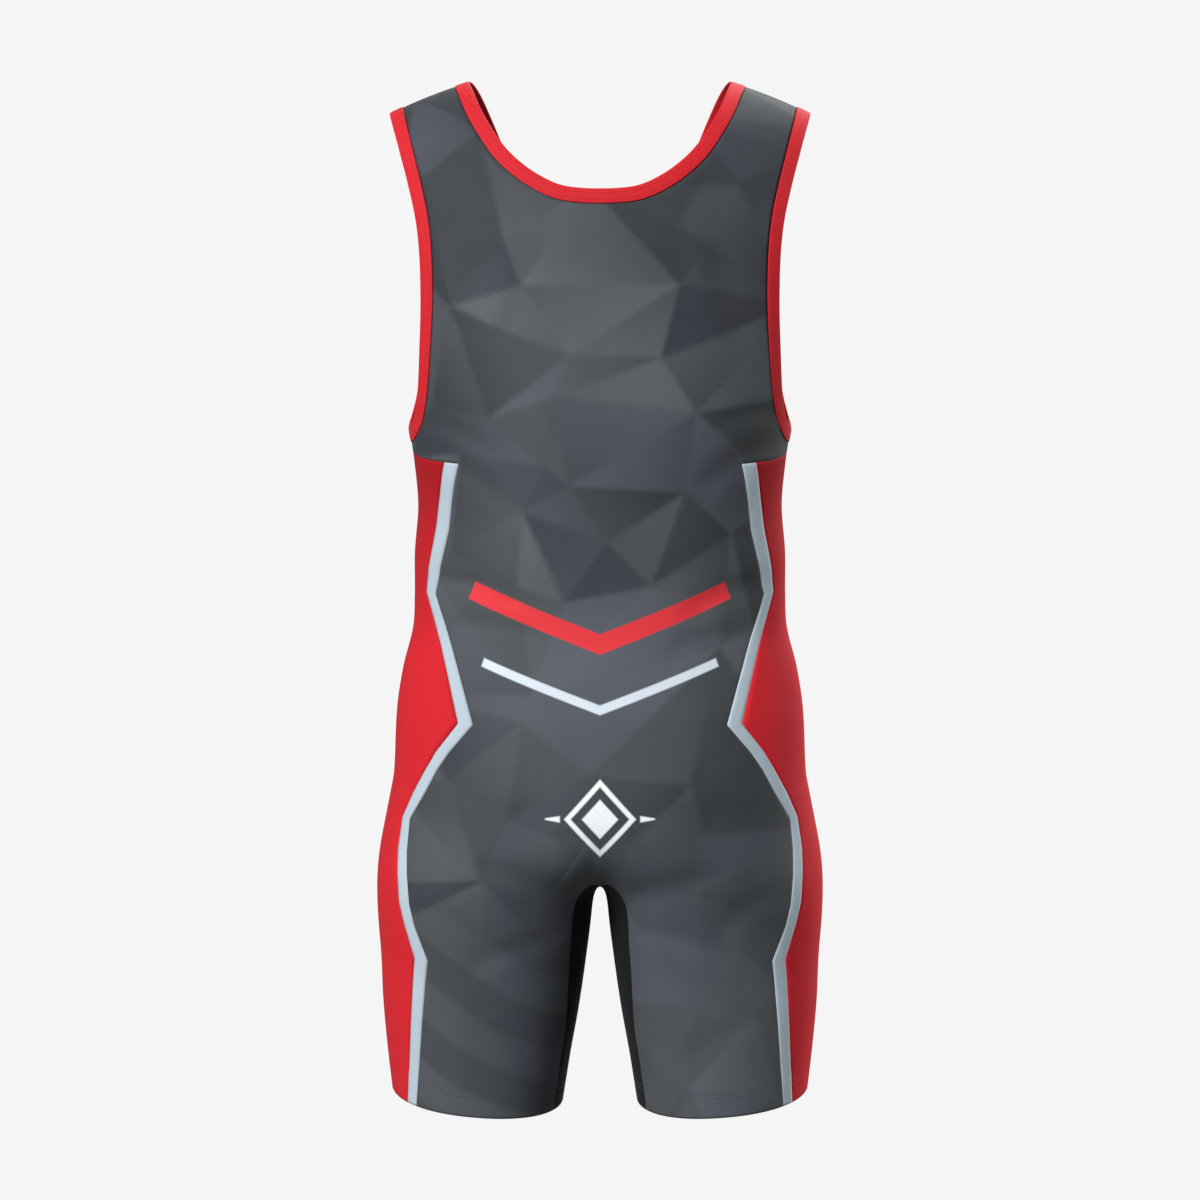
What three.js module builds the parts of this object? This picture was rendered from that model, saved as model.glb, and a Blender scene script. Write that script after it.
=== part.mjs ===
// Wrestling singlet, filled out as it is when worn, with nobody in it.
// Millimetres, +Z up. The front faces -Y, the back +Y, and the wearer's left is +X.
// The origin lies midway between the straps, level with the tops of the shoulders.
// A turn is an angle round the body from the centre back, so 90 is the side and 180 the centre front.

import * as THREE from 'three';

const DEGREE = Math.PI / 180;

// Cloth thickness, bindings and seams
const CLOTH_WALL = 1.5;
const BINDING_WALL = 2.4;
const BINDING_PROUD = 0.45;
const BINDING_WIDTH = 12;
const SEAM_GAP = 0.3;

// Shoulders: the straps arch over from back to front, and their ridge falls towards the arm
const RIDGE_TOP = 30;
const RIDGE_FALL = 44;
const ARCH_RISE = 150;
const NECK_POINT = 112;
const SHOULDER_TIP = 180;

// Levels
const SIDE_PANEL_TOP = -306;
const YOKE_LEVEL = -250;
const SEAT_TOP = -605;
const CROTCH = -684;
const THIGH_TOP = -708;
const HEM = -870;

// The hem drops a little towards the back and towards the inside of the leg
const HEM_DROP_BACK = 0.09;
const HEM_RISE_OUT = 0.08;

// How square the sections are: 2 is an ellipse
const BODY_SQUARENESS = 2.3;
const LEG_SQUARENESS = 2.2;
const CROTCH_SQUARENESS = 2.4;

// Where the seat turns into the leg, as a turn round the leg from its back
const LEG_CORNER = 35;
const SEAT_PULL_LEVEL = 1.5;
const SEAT_PULL_DOWN = 1.35;
const SEAT_FADE = 0.7;
const GUSSET_REACH_BACK = 46;
const GUSSET_REACH_FRONT = 42;

// Sections of the body: half the width, and the depth behind and before the middle
const BODY = table('height half_width back front', [
  [130, 206, 104, 100],
  [0, 206, 104, 101],
  [-60, 203, 104, 103],
  [-120, 196, 108, 108],
  [-180, 185.2, 112, 113],
  [-240, 172.6, 113, 116],
  [-285, 164.4, 110, 118],
  [-320, 159.4, 105, 116],
  [-354, 156.8, 100, 112],
  [-394, 159.8, 94, 107],
  [-430, 160, 90, 102],
  [-460, 161.5, 91, 101],
  [-496, 170.3, 98, 100],
  [-532, 175.7, 107, 98],
  [-587, 178.4, 117, 95],
  [-605, 181.5, 118, 94],
  [-630, 186.4, 118, 93],
]);

// Sections of the leg: how far its outer and inner sides lie from the body's middle, its depth and its middle
const LEG = table('height outer gap half_depth middle', [
  [-650, 190.3, 5, 100, 9],
  [-680, 193, 6, 97, 8],
  [-708, 192.8, 7, 94, 6],
  [-752, 189.9, 12.5, 89, 3],
  [-790, 188.5, 18.2, 86, 2],
  [-830, 185.3, 25.5, 83, 0],
  [-870, 181, 32, 80, 0],
]);

// The zigzag stripe: how far across its two edges lie at each height. It runs straight between these rows.
const STRIPE = table('height outer inner', [
  [-306, 134.5, 122.5],
  [-340, 138, 127],
  [-365, 141, 129.5],
  [-400, 147.5, 137.5],
  [-423, 149.5, 141.5],
  [-440, 144.5, 136],
  [-466, 137, 127.5],
  [-495, 130, 119],
  [-530, 122, 109],
  [-555, 140.5, 129.5],
  [-572, 150, 140.5],
  [-593, 160.5, 151],
  [-617, 170.5, 164],
  [-644, 174.5, 166.5],
  [-664, 175, 166.5],
  [-689, 173.5, 164.5],
  [-708, 169, 160],
  [-738, 160, 148.5],
  [-757, 161.5, 150.5],
  [-793, 163.5, 153.5],
  [-880, 167, 159.5],
]);

// How far across the gusset's seam lies on the inside of the thigh
const GUSSET_SEAM = table('height across', [
  [-703, 23.5],
  [-725, 24.5],
  [-753, 26.5],
  [-806, 29.5],
  [-838, 34.5],
  [-871, 39.5],
]);

// Free edges of the openings, as turns from the centre back or front and heights along the cloth
const BACK_NECK = table('turn height', [
  [0, -64],
  [4.5, -63.5],
  [9.2, -61],
  [13.6, -54],
  [18.1, -42.5],
  [22.3, -26],
  [25.5, -5],
  [28.6, 25],
  [30.6, 62],
]);
const FRONT_NECK = table('turn height', [
  [0, -165],
  [5, -163],
  [9.5, -156],
  [13.5, -141],
  [17, -118],
  [20.5, -85],
  [24, -46],
  [27.5, 2],
  [30.4, 55],
]);
const ARMHOLE = table('turn height', [
  [90, -285],
  [78, -281.5],
  [69.4, -271],
  [64.1, -257],
  [60.6, -241],
  [57, -218],
  [53, -186],
  [50.4, -155],
  [48.9, -124],
  [48.9, -94],
  [50.6, -60],
  [53.2, -20],
  [56, 28],
]);

// Above the yoke the straps part from the rest at these heights, on the neck's side and the armhole's side
const STRAP_ROOT = {
  back: { neck: -46, arm: -120, rows_below: 6, rows_above: 8 },
  front: { neck: -150, arm: -190, rows_below: 3, rows_above: 11 },
};

// Rows of the cloth from the side panels' top down to the hems
const BODY_ROWS = [-306, -330, -354, -378, -400, -423, -445, -466, -488, -509, -530, -549, -568, -587, -605];
const SEAT_ROWS = [0, 0.115, 0.28, 0.46, 0.64, 0.82, 1];
const LEG_ROWS = [0, 0.09, 0.185, 0.3, 0.42, 0.56, 0.7, 0.85, 1];

// Cells across each piece
const PANEL_CELLS = 8;
const SIDE_CELLS = 3;
const CROTCH_CELLS = 4;
const GUSSET_CELLS = 6;
const STRAP_CELLS = 4;
const YOKE_ROWS = 2;

// One radian of bend counts as this many millimetres where an edge is cut into even lengths
const BEND_SHARE = 30;

function table(names, rows) {
  const columns = names.split(' ');
  return rows.map((row) => Object.fromEntries(columns.map((name, i) => [name, row[i]])));
}

// A smooth curve through a table's column; above and below the table it stays level.
function along(rows, column, height) {
  const last = rows.length - 1;
  if (height >= rows[0].height) return rows[0][column];
  if (height <= rows[last].height) return rows[last][column];
  let i = 0;
  while (rows[i + 1].height > height) i += 1;
  const slope = (k) => {
    const up = rows[Math.max(k - 1, 0)];
    const down = rows[Math.min(k + 1, last)];
    return (up[column] - down[column]) / (up.height - down.height);
  };
  const span = rows[i + 1].height - rows[i].height;
  const f = (height - rows[i].height) / span;
  const start = rows[i][column] * (1 + 2 * f) * (1 - f) ** 2 + slope(i) * span * f * (1 - f) ** 2;
  const end = rows[i + 1][column] * f * f * (3 - 2 * f) + slope(i + 1) * span * f * f * (f - 1);
  return start + end;
}

// The same, but straight between rows, so corners stay sharp.
function straight(rows, column, height) {
  let i = 0;
  while (i < rows.length - 2 && rows[i + 1].height > height) i += 1;
  const f = (height - rows[i].height) / (rows[i + 1].height - rows[i].height);
  return THREE.MathUtils.lerp(rows[i][column], rows[i + 1][column], THREE.MathUtils.clamp(f, 0, 1));
}

// The place between low and high where a rising function reaches a value.
function reach(rising, value, low, high) {
  for (let step = 0; step < 40; step += 1) {
    const middle = (low + high) / 2;
    if (rising(middle) < value) low = middle;
    else high = middle;
  }
  return (low + high) / 2;
}

function roundness(angle, squareness) {
  const parts = Math.abs(Math.sin(angle)) ** squareness + Math.abs(Math.cos(angle)) ** squareness;
  return parts ** (-1 / squareness);
}

function ridge(x) {
  return RIDGE_TOP - RIDGE_FALL * (x / SHOULDER_TIP) ** 2;
}

// Height along the cloth at which the strap's arch reaches its ridge
function ridgeHeight(x) {
  return ridge(x) - ARCH_RISE + ARCH_RISE * Math.PI / 2;
}

// A point of the trunk. Near the shoulders the height runs on over the arch.
function trunk(turn, height) {
  const angle = turn * DEGREE;
  const round = roundness(angle, BODY_SQUARENESS);
  const x = along(BODY, 'half_width', height) * round * Math.sin(angle);
  const depth = along(BODY, turn < 90 ? 'back' : 'front', height) * round * Math.cos(angle);
  const foot = ridge(x) - ARCH_RISE;
  if (height <= foot) return new THREE.Vector3(x, depth, height);
  const lean = (height - foot) / ARCH_RISE;
  return new THREE.Vector3(x, depth * Math.cos(lean), foot + ARCH_RISE * Math.sin(lean));
}

// Where along the cloth's half ring a place lies: 0 centre back, 1 side, 2 centre front, and on under the
// crotch, 3 its lowest point and 4 the centre back again.
function legTurn(place) {
  if (place <= 2) return -LEG_CORNER + (180 + 2 * LEG_CORNER) * place / 2;
  return 180 + LEG_CORNER + (180 - 2 * LEG_CORNER) * (place - 2) / 2;
}

function leg(place, drop) {
  const height = THREE.MathUtils.lerp(THIGH_TOP, HEM, drop);
  const outer = along(LEG, 'outer', height);
  const gap = along(LEG, 'gap', height);
  const angle = legTurn(place) * DEGREE;
  const round = roundness(angle, LEG_SQUARENESS);
  const aside = (outer - gap) / 2 * round * Math.sin(angle);
  const y = along(LEG, 'middle', height) + along(LEG, 'half_depth', height) * round * Math.cos(angle);
  const tilt = Math.max(drop, 0) * (HEM_RISE_OUT * aside - HEM_DROP_BACK * y);
  return new THREE.Vector3((outer + gap) / 2 + aside, y, height + tilt);
}

// The seam-free line from the centre front, under the crotch, to the centre back
function crotchLine(place) {
  const angle = (place - 2) * Math.PI / 2;
  const round = roundness(angle, CROTCH_SQUARENESS);
  const depth = along(BODY, place < 3 ? 'front' : 'back', SEAT_TOP);
  const y = -depth * round * Math.cos(angle);
  return new THREE.Vector3(0, y, SEAT_TOP + (CROTCH - SEAT_TOP) * round * Math.sin(angle));
}

function seatTop(place) {
  if (place <= 2) return trunk(place * 90, SEAT_TOP);
  return crotchLine(place);
}

// The level and the falling direction in which the cloth leaves the seat's top
function seatTopWays(place) {
  const small = 1e-3;
  const corner = place < small || Math.abs(place - 2) < small || place > 4 - small;
  const level = new THREE.Vector3(1, 0, 0);
  const down = new THREE.Vector3(0, 0, -1);
  if (corner) return { level, down };
  if (place < 2) {
    level.copy(trunk((place + small) * 90, SEAT_TOP)).sub(trunk((place - small) * 90, SEAT_TOP));
    down.copy(trunk(place * 90, SEAT_TOP - 1)).sub(trunk(place * 90, SEAT_TOP + 1));
  } else {
    const towards = place < 3 ? small : -small;
    down.copy(crotchLine(place + towards)).sub(crotchLine(place - towards));
  }
  return { level: level.normalize(), down: down.normalize() };
}

// The seat runs smoothly from the trunk and the crotch line into the top of the leg.
function seat(place, drop) {
  const from = seatTop(place);
  const to = leg(place, 0);
  const chord = to.clone().sub(from);
  const ways = seatTopWays(place);
  const pastCorner = Math.max(0, Math.min(place - 2, 4 - place));
  const fade = 1 - THREE.MathUtils.smoothstep(pastCorner, 0, SEAT_FADE);
  const leave = ways.level.clone().multiplyScalar(chord.dot(ways.level) * SEAT_PULL_LEVEL)
    .addScaledVector(ways.down, chord.dot(ways.down) * SEAT_PULL_DOWN * fade);
  const small = 0.01;
  const legDown = leg(place, small).sub(leg(place, -small)).normalize();
  const arrive = legDown.multiplyScalar(Math.abs(chord.z) * SEAT_PULL_DOWN);
  const f = drop;
  return from.multiplyScalar((1 + 2 * f) * (1 - f) ** 2)
    .addScaledVector(leave, f * (1 - f) ** 2)
    .addScaledVector(to, f * f * (3 - 2 * f))
    .addScaledVector(arrive, f * f * (f - 1));
}

// A row of the cloth is level on the trunk, or a fraction of the way down the seat or the leg.
function cloth(place, row) {
  if (row.part === 'trunk') return trunk(place * 90, row.at);
  if (row.part === 'seat') return seat(place, row.at);
  return leg(place, row.at);
}

// Where a row meets a stripe's edge, on the back or the front
function stripePlace(row, edge, front) {
  const ahead = (place) => {
    const point = cloth(front ? 2 - place : place, row);
    return point.x - straight(STRIPE, edge, point.z);
  };
  const place = reach(ahead, 0, 0.2, 1);
  return front ? 2 - place : place;
}

// Where a row meets the gusset's seam, on the back or the front
function gussetPlace(row, front) {
  const turned = (place) => (front ? 6 - place : place);
  const reachOnLine = front ? GUSSET_REACH_FRONT : GUSSET_REACH_BACK;
  const onLine = reach((place) => Math.abs(crotchLine(turned(place)).y), reachOnLine, 3, 4);
  const onLeg = (drop) => {
    const ahead = (place) => {
      const point = leg(turned(place), drop);
      return point.x - along(GUSSET_SEAM, 'across', point.z);
    };
    return reach(ahead, 0, 3, 4);
  };
  // The seam leaves the crotch line slanting and has turned to run down by the top of the leg
  const eased = 1 - (1 - row.at) ** 2;
  const place = row.part === 'leg' ? onLeg(row.at) : THREE.MathUtils.lerp(onLine, onLeg(0), eased);
  return turned(place);
}

function spread(from, to, cells) {
  return Array.from({ length: cells + 1 }, (unused, i) => THREE.MathUtils.lerp(from, to, i / cells));
}

// The places where a row is divided, piece by piece
function divide(row) {
  const back = { inner: stripePlace(row, 'inner', false), outer: stripePlace(row, 'outer', false) };
  const front = { inner: stripePlace(row, 'inner', true), outer: stripePlace(row, 'outer', true) };
  const sides = [...spread(back.outer, 1, SIDE_CELLS), ...spread(1, front.outer, SIDE_CELLS).slice(1)];
  const pieces = [
    ['back_panel', spread(0, back.inner, PANEL_CELLS)],
    ['stripe_back', [back.inner, back.outer]],
    ['side_panel', sides],
    ['stripe_front', [front.outer, front.inner]],
    ['front_panel', spread(front.inner, 2, PANEL_CELLS)],
  ];
  if (row.part === 'trunk') return pieces;
  const seamFront = gussetPlace(row, true);
  const seamBack = gussetPlace(row, false);
  return [
    ...pieces,
    ['front_panel', spread(2, seamFront, CROTCH_CELLS)],
    ['gusset', spread(seamFront, seamBack, GUSSET_CELLS)],
    ['back_panel', spread(seamBack, 4, CROTCH_CELLS)],
  ];
}

// A smooth line through points; the first and the last point only steer its ends.
function smoothLine(points, at) {
  const spans = points.length - 3;
  const span = Math.min(Math.floor(at * spans), spans - 1);
  const f = at * spans - span;
  const mix = (column) => {
    const [a, b, c, d] = points.slice(span, span + 4).map((point) => point[column]);
    const linear = (c - a) * f;
    const square = (2 * a - 5 * b + 4 * c - d) * f * f;
    const cube = (3 * b - a - 3 * c + d) * f * f * f;
    return b + (linear + square + cube) / 2;
  };
  return { turn: mix('turn'), height: mix('height') };
}

// The free edge of an opening, from its first row to the shoulder ridge
function openingEdge(rows, startsAt, shoulderAcross) {
  const end = shoulderSpot(shoulderAcross);
  const last = rows[rows.length - 1];
  const before = { turn: 2 * startsAt - rows[1].turn, height: rows[1].height };
  const beyond = { turn: last.turn, height: 2 * end.height - last.height };
  return [before, ...rows, end, beyond];
}

function onTrunk(spot, front) {
  return trunk(front ? 180 - spot.turn : spot.turn, spot.height);
}

// The spot of the shoulder seam at a distance across from the body's middle
function shoulderSpot(across) {
  const height = ridgeHeight(across);
  return { turn: reach((angle) => trunk(angle, height).x, across, 0, 89), height };
}

// The spot that lies one binding's width inside an opening's edge
function seamSpot(edge, at, front, isNeck) {
  const small = 1e-3;
  const width = BINDING_WIDTH + SEAM_GAP / 2;
  const spot = smoothLine(edge, at);
  if (at === 0 && !isNeck) return { turn: spot.turn, height: spot.height - width };
  if (at === 1) {
    const across = isNeck ? NECK_POINT : SHOULDER_TIP;
    const fall = 2 * RIDGE_FALL * across / SHOULDER_TIP ** 2;
    const step = width / Math.hypot(1, fall);
    return shoulderSpot(isNeck ? across + step : across - step);
  }
  const travel = onTrunk(smoothLine(edge, Math.min(at + small, 1)), front)
    .sub(onTrunk(smoothLine(edge, Math.max(at - small, 0)), front));
  const slopes = (here) => {
    const turned = onTrunk({ turn: here.turn + 0.1, height: here.height }, front)
      .sub(onTrunk({ turn: here.turn - 0.1, height: here.height }, front)).multiplyScalar(5);
    const raised = onTrunk({ turn: here.turn, height: here.height + 0.1 }, front)
      .sub(onTrunk({ turn: here.turn, height: here.height - 0.1 }, front)).multiplyScalar(5);
    return { turned, raised };
  };
  const first = slopes(spot);
  const facing = first.turned.clone().cross(first.raised);
  const inward = travel.cross(facing).multiplyScalar(isNeck ? 1 : -1).normalize();
  const goal = onTrunk(spot, front).addScaledVector(inward, width);
  const found = { turn: spot.turn, height: spot.height };
  for (let step = 0; step < 6; step += 1) {
    const { turned, raised } = slopes(found);
    const miss = goal.clone().sub(onTrunk(found, front));
    const tt = turned.dot(turned);
    const rr = raised.dot(raised);
    const tr = turned.dot(raised);
    const det = tt * rr - tr * tr;
    found.turn += (miss.dot(turned) * rr - miss.dot(raised) * tr) / det;
    found.height += (miss.dot(raised) * tt - miss.dot(turned) * tr) / det;
    if (at === 0) found.turn = spot.turn;
  }
  return found;
}

// Fractions along a line of spots that cut it evenly, with shorter lengths where it bends
function evenly(line, front, from, to, cells) {
  const samples = spread(from, to, 60);
  const points = samples.map((at) => onTrunk(line(at), front));
  const steps = points.slice(1).map((point, i) => point.clone().sub(points[i]));
  const lengths = [0];
  steps.forEach((step, i) => {
    const bend = i > 0 ? step.angleTo(steps[i - 1]) : 0;
    lengths.push(lengths[i] + step.length() + BEND_SHARE * bend);
  });
  const total = lengths[lengths.length - 1];
  return spread(0, total, cells).map((length, k) => {
    if (k === 0) return from;
    if (k === cells) return to;
    const i = lengths.findIndex((reached) => reached > length);
    const f = (length - lengths[i - 1]) / (lengths[i] - lengths[i - 1]);
    return THREE.MathUtils.lerp(samples[i - 1], samples[i], f);
  });
}

// Faces of the whole garment, each with the piece that it belongs to
const faces = [];

function addFace(piece, corners, side, turnedOver) {
  const points = corners.map((point) => new THREE.Vector3(point.x * side, point.y, point.z));
  if ((side < 0) !== turnedOver) points.reverse();
  faces.push({ piece, points });
}

function sideName(side) {
  return side > 0 ? 'left' : 'right';
}

function nodeName(piece, side) {
  const onePiece = ['back_panel', 'front_panel', 'gusset', 'neck_binding'];
  return onePiece.includes(piece) ? piece : `${piece}_${sideName(side)}`;
}

// Body, seat and legs below the arms
function addRows(side) {
  const rows = [
    BODY_ROWS.map((at) => ({ part: 'trunk', at })),
    SEAT_ROWS.map((at) => ({ part: 'seat', at })),
    LEG_ROWS.map((at) => ({ part: 'leg', at })),
  ];
  for (const run of rows) {
    for (let j = 0; j + 1 < run.length; j += 1) {
      const upper = divide(run[j]);
      const lower = divide(run[j + 1]);
      upper.forEach(([piece, places], k) => {
        const under = lower[k][1];
        for (let i = 0; i + 1 < places.length; i += 1) {
          const corners = [
            cloth(places[i], run[j]),
            cloth(places[i + 1], run[j]),
            cloth(under[i + 1], run[j + 1]),
            cloth(under[i], run[j + 1]),
          ];
          addFace(nodeName(piece, side), corners, side, false);
        }
      });
    }
  }
}

// Spots in a straight line from one to another
function between(from, to, cells) {
  const heights = spread(from.height, to.height, cells);
  return spread(from.turn, to.turn, cells).map((turn, i) => ({ turn, height: heights[i] }));
}

// A grid of spots between four border lines, each given as a list of spots
function fillBetween(bottom, top, left, right) {
  const across = bottom.length - 1;
  const up = left.length - 1;
  const mix = (column, i, j) => {
    const u = i / across;
    const v = j / up;
    const vertical = (1 - v) * bottom[i][column] + v * top[i][column];
    const level = (1 - u) * left[j][column] + u * right[j][column];
    const low = (1 - u) * bottom[0][column] + u * bottom[across][column];
    const high = (1 - u) * top[0][column] + u * top[across][column];
    return vertical + level - (1 - v) * low - v * high;
  };
  return left.map((unused, j) => bottom.map((spot, i) => ({ turn: mix('turn', i, j), height: mix('height', i, j) })));
}

// Shoulder blades and chest above the side panels, with the bindings of the neck and the armhole
function addUpper(side, front) {
  const panel = front ? 'front_panel' : 'back_panel';
  const neckEdge = openingEdge(front ? FRONT_NECK : BACK_NECK, 0, NECK_POINT);
  const armEdge = openingEdge(ARMHOLE, 90, SHOULDER_TIP);
  const neckSeam = (at) => seamSpot(neckEdge, at, front, true);
  const armSeam = (at) => seamSpot(armEdge, at, front, false);
  const root = front ? STRAP_ROOT.front : STRAP_ROOT.back;
  const yokeAt = reach((at) => armSeam(at).height, YOKE_LEVEL, 0, 0.6);
  const armRootAt = reach((at) => armSeam(at).height, root.arm, 0, 1);
  const neckRootAt = reach((at) => neckSeam(at).height, root.neck, 0, 1);

  const neckLowAt = evenly(neckSeam, front, 0, neckRootAt, PANEL_CELLS + 1 - STRAP_CELLS);
  const neckHighAt = evenly(neckSeam, front, neckRootAt, 1, root.rows_above);
  const armLowAt = evenly(armSeam, front, 0, yokeAt, SIDE_CELLS);
  const armMiddleAt = evenly(armSeam, front, yokeAt, armRootAt, root.rows_below);
  const armHighAt = evenly(armSeam, front, armRootAt, 1, root.rows_above);

  const bottomRow = divide({ part: 'trunk', at: SIDE_PANEL_TOP });
  const places = [...bottomRow[0][1], ...bottomRow[1][1].slice(1), ...bottomRow[2][1].slice(1, SIDE_CELLS + 1)];
  const yokeFoot = places.map((place) => ({ turn: place * 90, height: SIDE_PANEL_TOP }));
  const yokeLevel = between({ turn: 0, height: YOKE_LEVEL }, armSeam(yokeAt), PANEL_CELLS + 1);
  const yokeTop = [...yokeLevel, ...armLowAt.slice(0, -1).reverse().map(armSeam)];
  const yokeColumns = yokeFoot.map((spot, i) => between(spot, yokeTop[i], YOKE_ROWS));
  const yoke = yokeColumns[0].map((unused, j) => yokeColumns.map((column) => column[j]));

  const neckLow = neckLowAt.map(neckSeam);
  const strapFoot = between(neckSeam(neckRootAt), armSeam(armRootAt), STRAP_CELLS);
  const bladeTop = [...neckLow, ...strapFoot.slice(1)];
  const centre = between(yokeLevel[0], neckLow[0], root.rows_below);
  const blade = fillBetween(yokeLevel, bladeTop, centre, armMiddleAt.map(armSeam));

  const neckAcross = onTrunk(neckSeam(1), front).x;
  const tipAcross = onTrunk(armSeam(1), front).x;
  const shoulder = spread(neckAcross, tipAcross, STRAP_CELLS).map(shoulderSpot);
  const strap = fillBetween(strapFoot, shoulder, neckHighAt.map(neckSeam), armHighAt.map(armSeam));

  for (const grid of [yoke, blade, strap]) {
    for (let j = 0; j + 1 < grid.length; j += 1) {
      for (let i = 0; i + 1 < grid[j].length; i += 1) {
        const spots = [grid[j + 1][i], grid[j + 1][i + 1], grid[j][i + 1], grid[j][i]];
        addFace(panel, spots.map((spot) => onTrunk(spot, front)), side, front);
      }
    }
  }

  const strip = (piece, edge, seam, stations, edgeFirst) => {
    for (let k = 0; k + 1 < stations.length; k += 1) {
      const [a, b] = [stations[k], stations[k + 1]];
      const spots = [smoothLine(edge, a), smoothLine(edge, b), seam(b), seam(a)];
      addFace(piece, spots.map((spot) => onTrunk(spot, front)), side, front !== edgeFirst);
    }
  };
  const neckAt = [...neckLowAt, ...neckHighAt.slice(1)];
  const armAt = [...armLowAt, ...armMiddleAt.slice(1), ...armHighAt.slice(1)];
  strip('neck_binding', neckEdge, neckSeam, neckAt, false);
  strip(nodeName('armhole_binding', side), armEdge, armSeam, armAt, true);
}

function spotKey(point) {
  return [point.x, point.y, point.z].map((value) => Math.round(value * 500) / 500 + 0).join(' ');
}

// Normals shared by all the pieces that meet at a point, so neighbouring walls stay parallel
function sharedNormals() {
  const normals = new Map();
  for (const face of faces) {
    const [a, b, c, d] = face.points;
    const normal = c.clone().sub(a).cross(d.clone().sub(b));
    for (const point of face.points) {
      const key = spotKey(point);
      if (!normals.has(key)) normals.set(key, new THREE.Vector3());
      normals.get(key).add(normal);
    }
  }
  normals.forEach((normal) => normal.normalize());
  return normals;
}

// One piece: its faces raised or sunk by its wall, drawn in at the seams, and closed by a rim
function makePiece(name, normals, proud, wall) {
  const keys = new Map();
  const points = [];
  const cells = faces.filter((face) => face.piece === name).map((face) => face.points.map((point) => {
    const key = spotKey(point);
    if (!keys.has(key)) {
      keys.set(key, points.length);
      points.push({ at: point, normal: normals.get(key), insets: [] });
    }
    return keys.get(key);
  }));
  const edges = new Set();
  for (const cell of cells) cell.forEach((corner, i) => edges.add(`${corner} ${cell[(i + 1) % cell.length]}`));
  const rims = [];
  for (const edge of edges) {
    const [from, to] = edge.split(' ').map(Number);
    if (edges.has(`${to} ${from}`)) continue;
    rims.push([from, to]);
    for (const corner of [from, to]) {
      const along = points[to].at.clone().sub(points[from].at);
      points[corner].insets.push(points[corner].normal.clone().cross(along).normalize());
    }
  }
  const positions = [];
  for (const point of points) {
    const moved = point.at.clone();
    if (point.insets.length === 2) {
      const [one, two] = point.insets;
      moved.addScaledVector(one.clone().add(two), SEAM_GAP / 2 / (1 + one.dot(two)));
    }
    const outside = moved.clone().addScaledVector(point.normal, proud);
    const inside = moved.clone().addScaledVector(point.normal, proud - wall);
    positions.push(...outside.toArray(), ...inside.toArray());
  }
  const indices = [];
  const quad = (a, b, c, d) => indices.push(a, b, c, a, c, d);
  for (const [a, b, c, d] of cells) {
    quad(2 * a, 2 * b, 2 * c, 2 * d);
    indices.push(2 * a + 1, 2 * c + 1, 2 * b + 1, 2 * a + 1, 2 * d + 1, 2 * c + 1);
  }
  for (const [from, to] of rims) quad(2 * to, 2 * from, 2 * from + 1, 2 * to + 1);
  const geometry = new THREE.BufferGeometry();
  geometry.setAttribute('position', new THREE.Float32BufferAttribute(positions, 3));
  geometry.setIndex(indices);
  geometry.computeVertexNormals();
  return geometry;
}

for (const side of [1, -1]) {
  addRows(side);
  addUpper(side, false);
  addUpper(side, true);
}
const normals = sharedNormals();

const FINISHES = {
  printed_knit: { color: 0x50565b, roughness: 0.82, metalness: 0 },
  red_knit: { color: 0xb8252e, roughness: 0.8, metalness: 0 },
  pale_knit: { color: 0xa9b6bf, roughness: 0.8, metalness: 0 },
  black_knit: { color: 0x222324, roughness: 0.85, metalness: 0 },
  red_binding: { color: 0xcb2630, roughness: 0.75, metalness: 0 },
};

const PIECES = [
  ['back_panel', 'printed_knit'],
  ['front_panel', 'printed_knit'],
  ['side_panel_left', 'red_knit'],
  ['side_panel_right', 'red_knit'],
  ['stripe_back_left', 'pale_knit'],
  ['stripe_back_right', 'pale_knit'],
  ['stripe_front_left', 'pale_knit'],
  ['stripe_front_right', 'pale_knit'],
  ['gusset', 'black_knit'],
  ['neck_binding', 'red_binding'],
  ['armhole_binding_left', 'red_binding'],
  ['armhole_binding_right', 'red_binding'],
];

const singlet = new THREE.Group();
for (const [name, finish] of PIECES) {
  const isBinding = finish === 'red_binding';
  const proud = isBinding ? BINDING_PROUD : 0;
  const wall = isBinding ? BINDING_WALL : CLOTH_WALL;
  const mesh = new THREE.Mesh(makePiece(name, normals, proud, wall), new THREE.MeshStandardMaterial(FINISHES[finish]));
  mesh.name = name;
  singlet.add(mesh);
}

export default singlet;
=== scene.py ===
"""Wrestling singlet, seen from behind, filled out as it is when worn, with nobody in it.

Sizes are in millimetres until a mesh is made. The front faces -Y, the back +Y and the wearer's left is +X.
A turn is an angle round the body from the centre back, so 90 is the side and 180 the centre front.
"""

import math
import random

import bmesh
import bpy
import numpy as np
from mathutils import Matrix, Vector
from mathutils.geometry import delaunay_2d_cdt


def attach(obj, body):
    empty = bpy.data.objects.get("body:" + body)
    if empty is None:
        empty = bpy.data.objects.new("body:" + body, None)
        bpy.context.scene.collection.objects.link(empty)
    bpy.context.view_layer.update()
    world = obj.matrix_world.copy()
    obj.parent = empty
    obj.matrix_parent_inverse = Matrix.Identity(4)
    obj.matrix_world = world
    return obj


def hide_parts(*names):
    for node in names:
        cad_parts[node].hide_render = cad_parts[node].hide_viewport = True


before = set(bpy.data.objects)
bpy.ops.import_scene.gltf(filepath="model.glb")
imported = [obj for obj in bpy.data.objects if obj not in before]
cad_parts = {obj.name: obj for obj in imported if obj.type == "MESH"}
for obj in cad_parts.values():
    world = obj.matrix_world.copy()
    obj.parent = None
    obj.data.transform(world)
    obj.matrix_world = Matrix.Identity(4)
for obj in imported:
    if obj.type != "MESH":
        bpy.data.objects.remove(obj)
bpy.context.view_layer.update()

MM = 0.001

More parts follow.
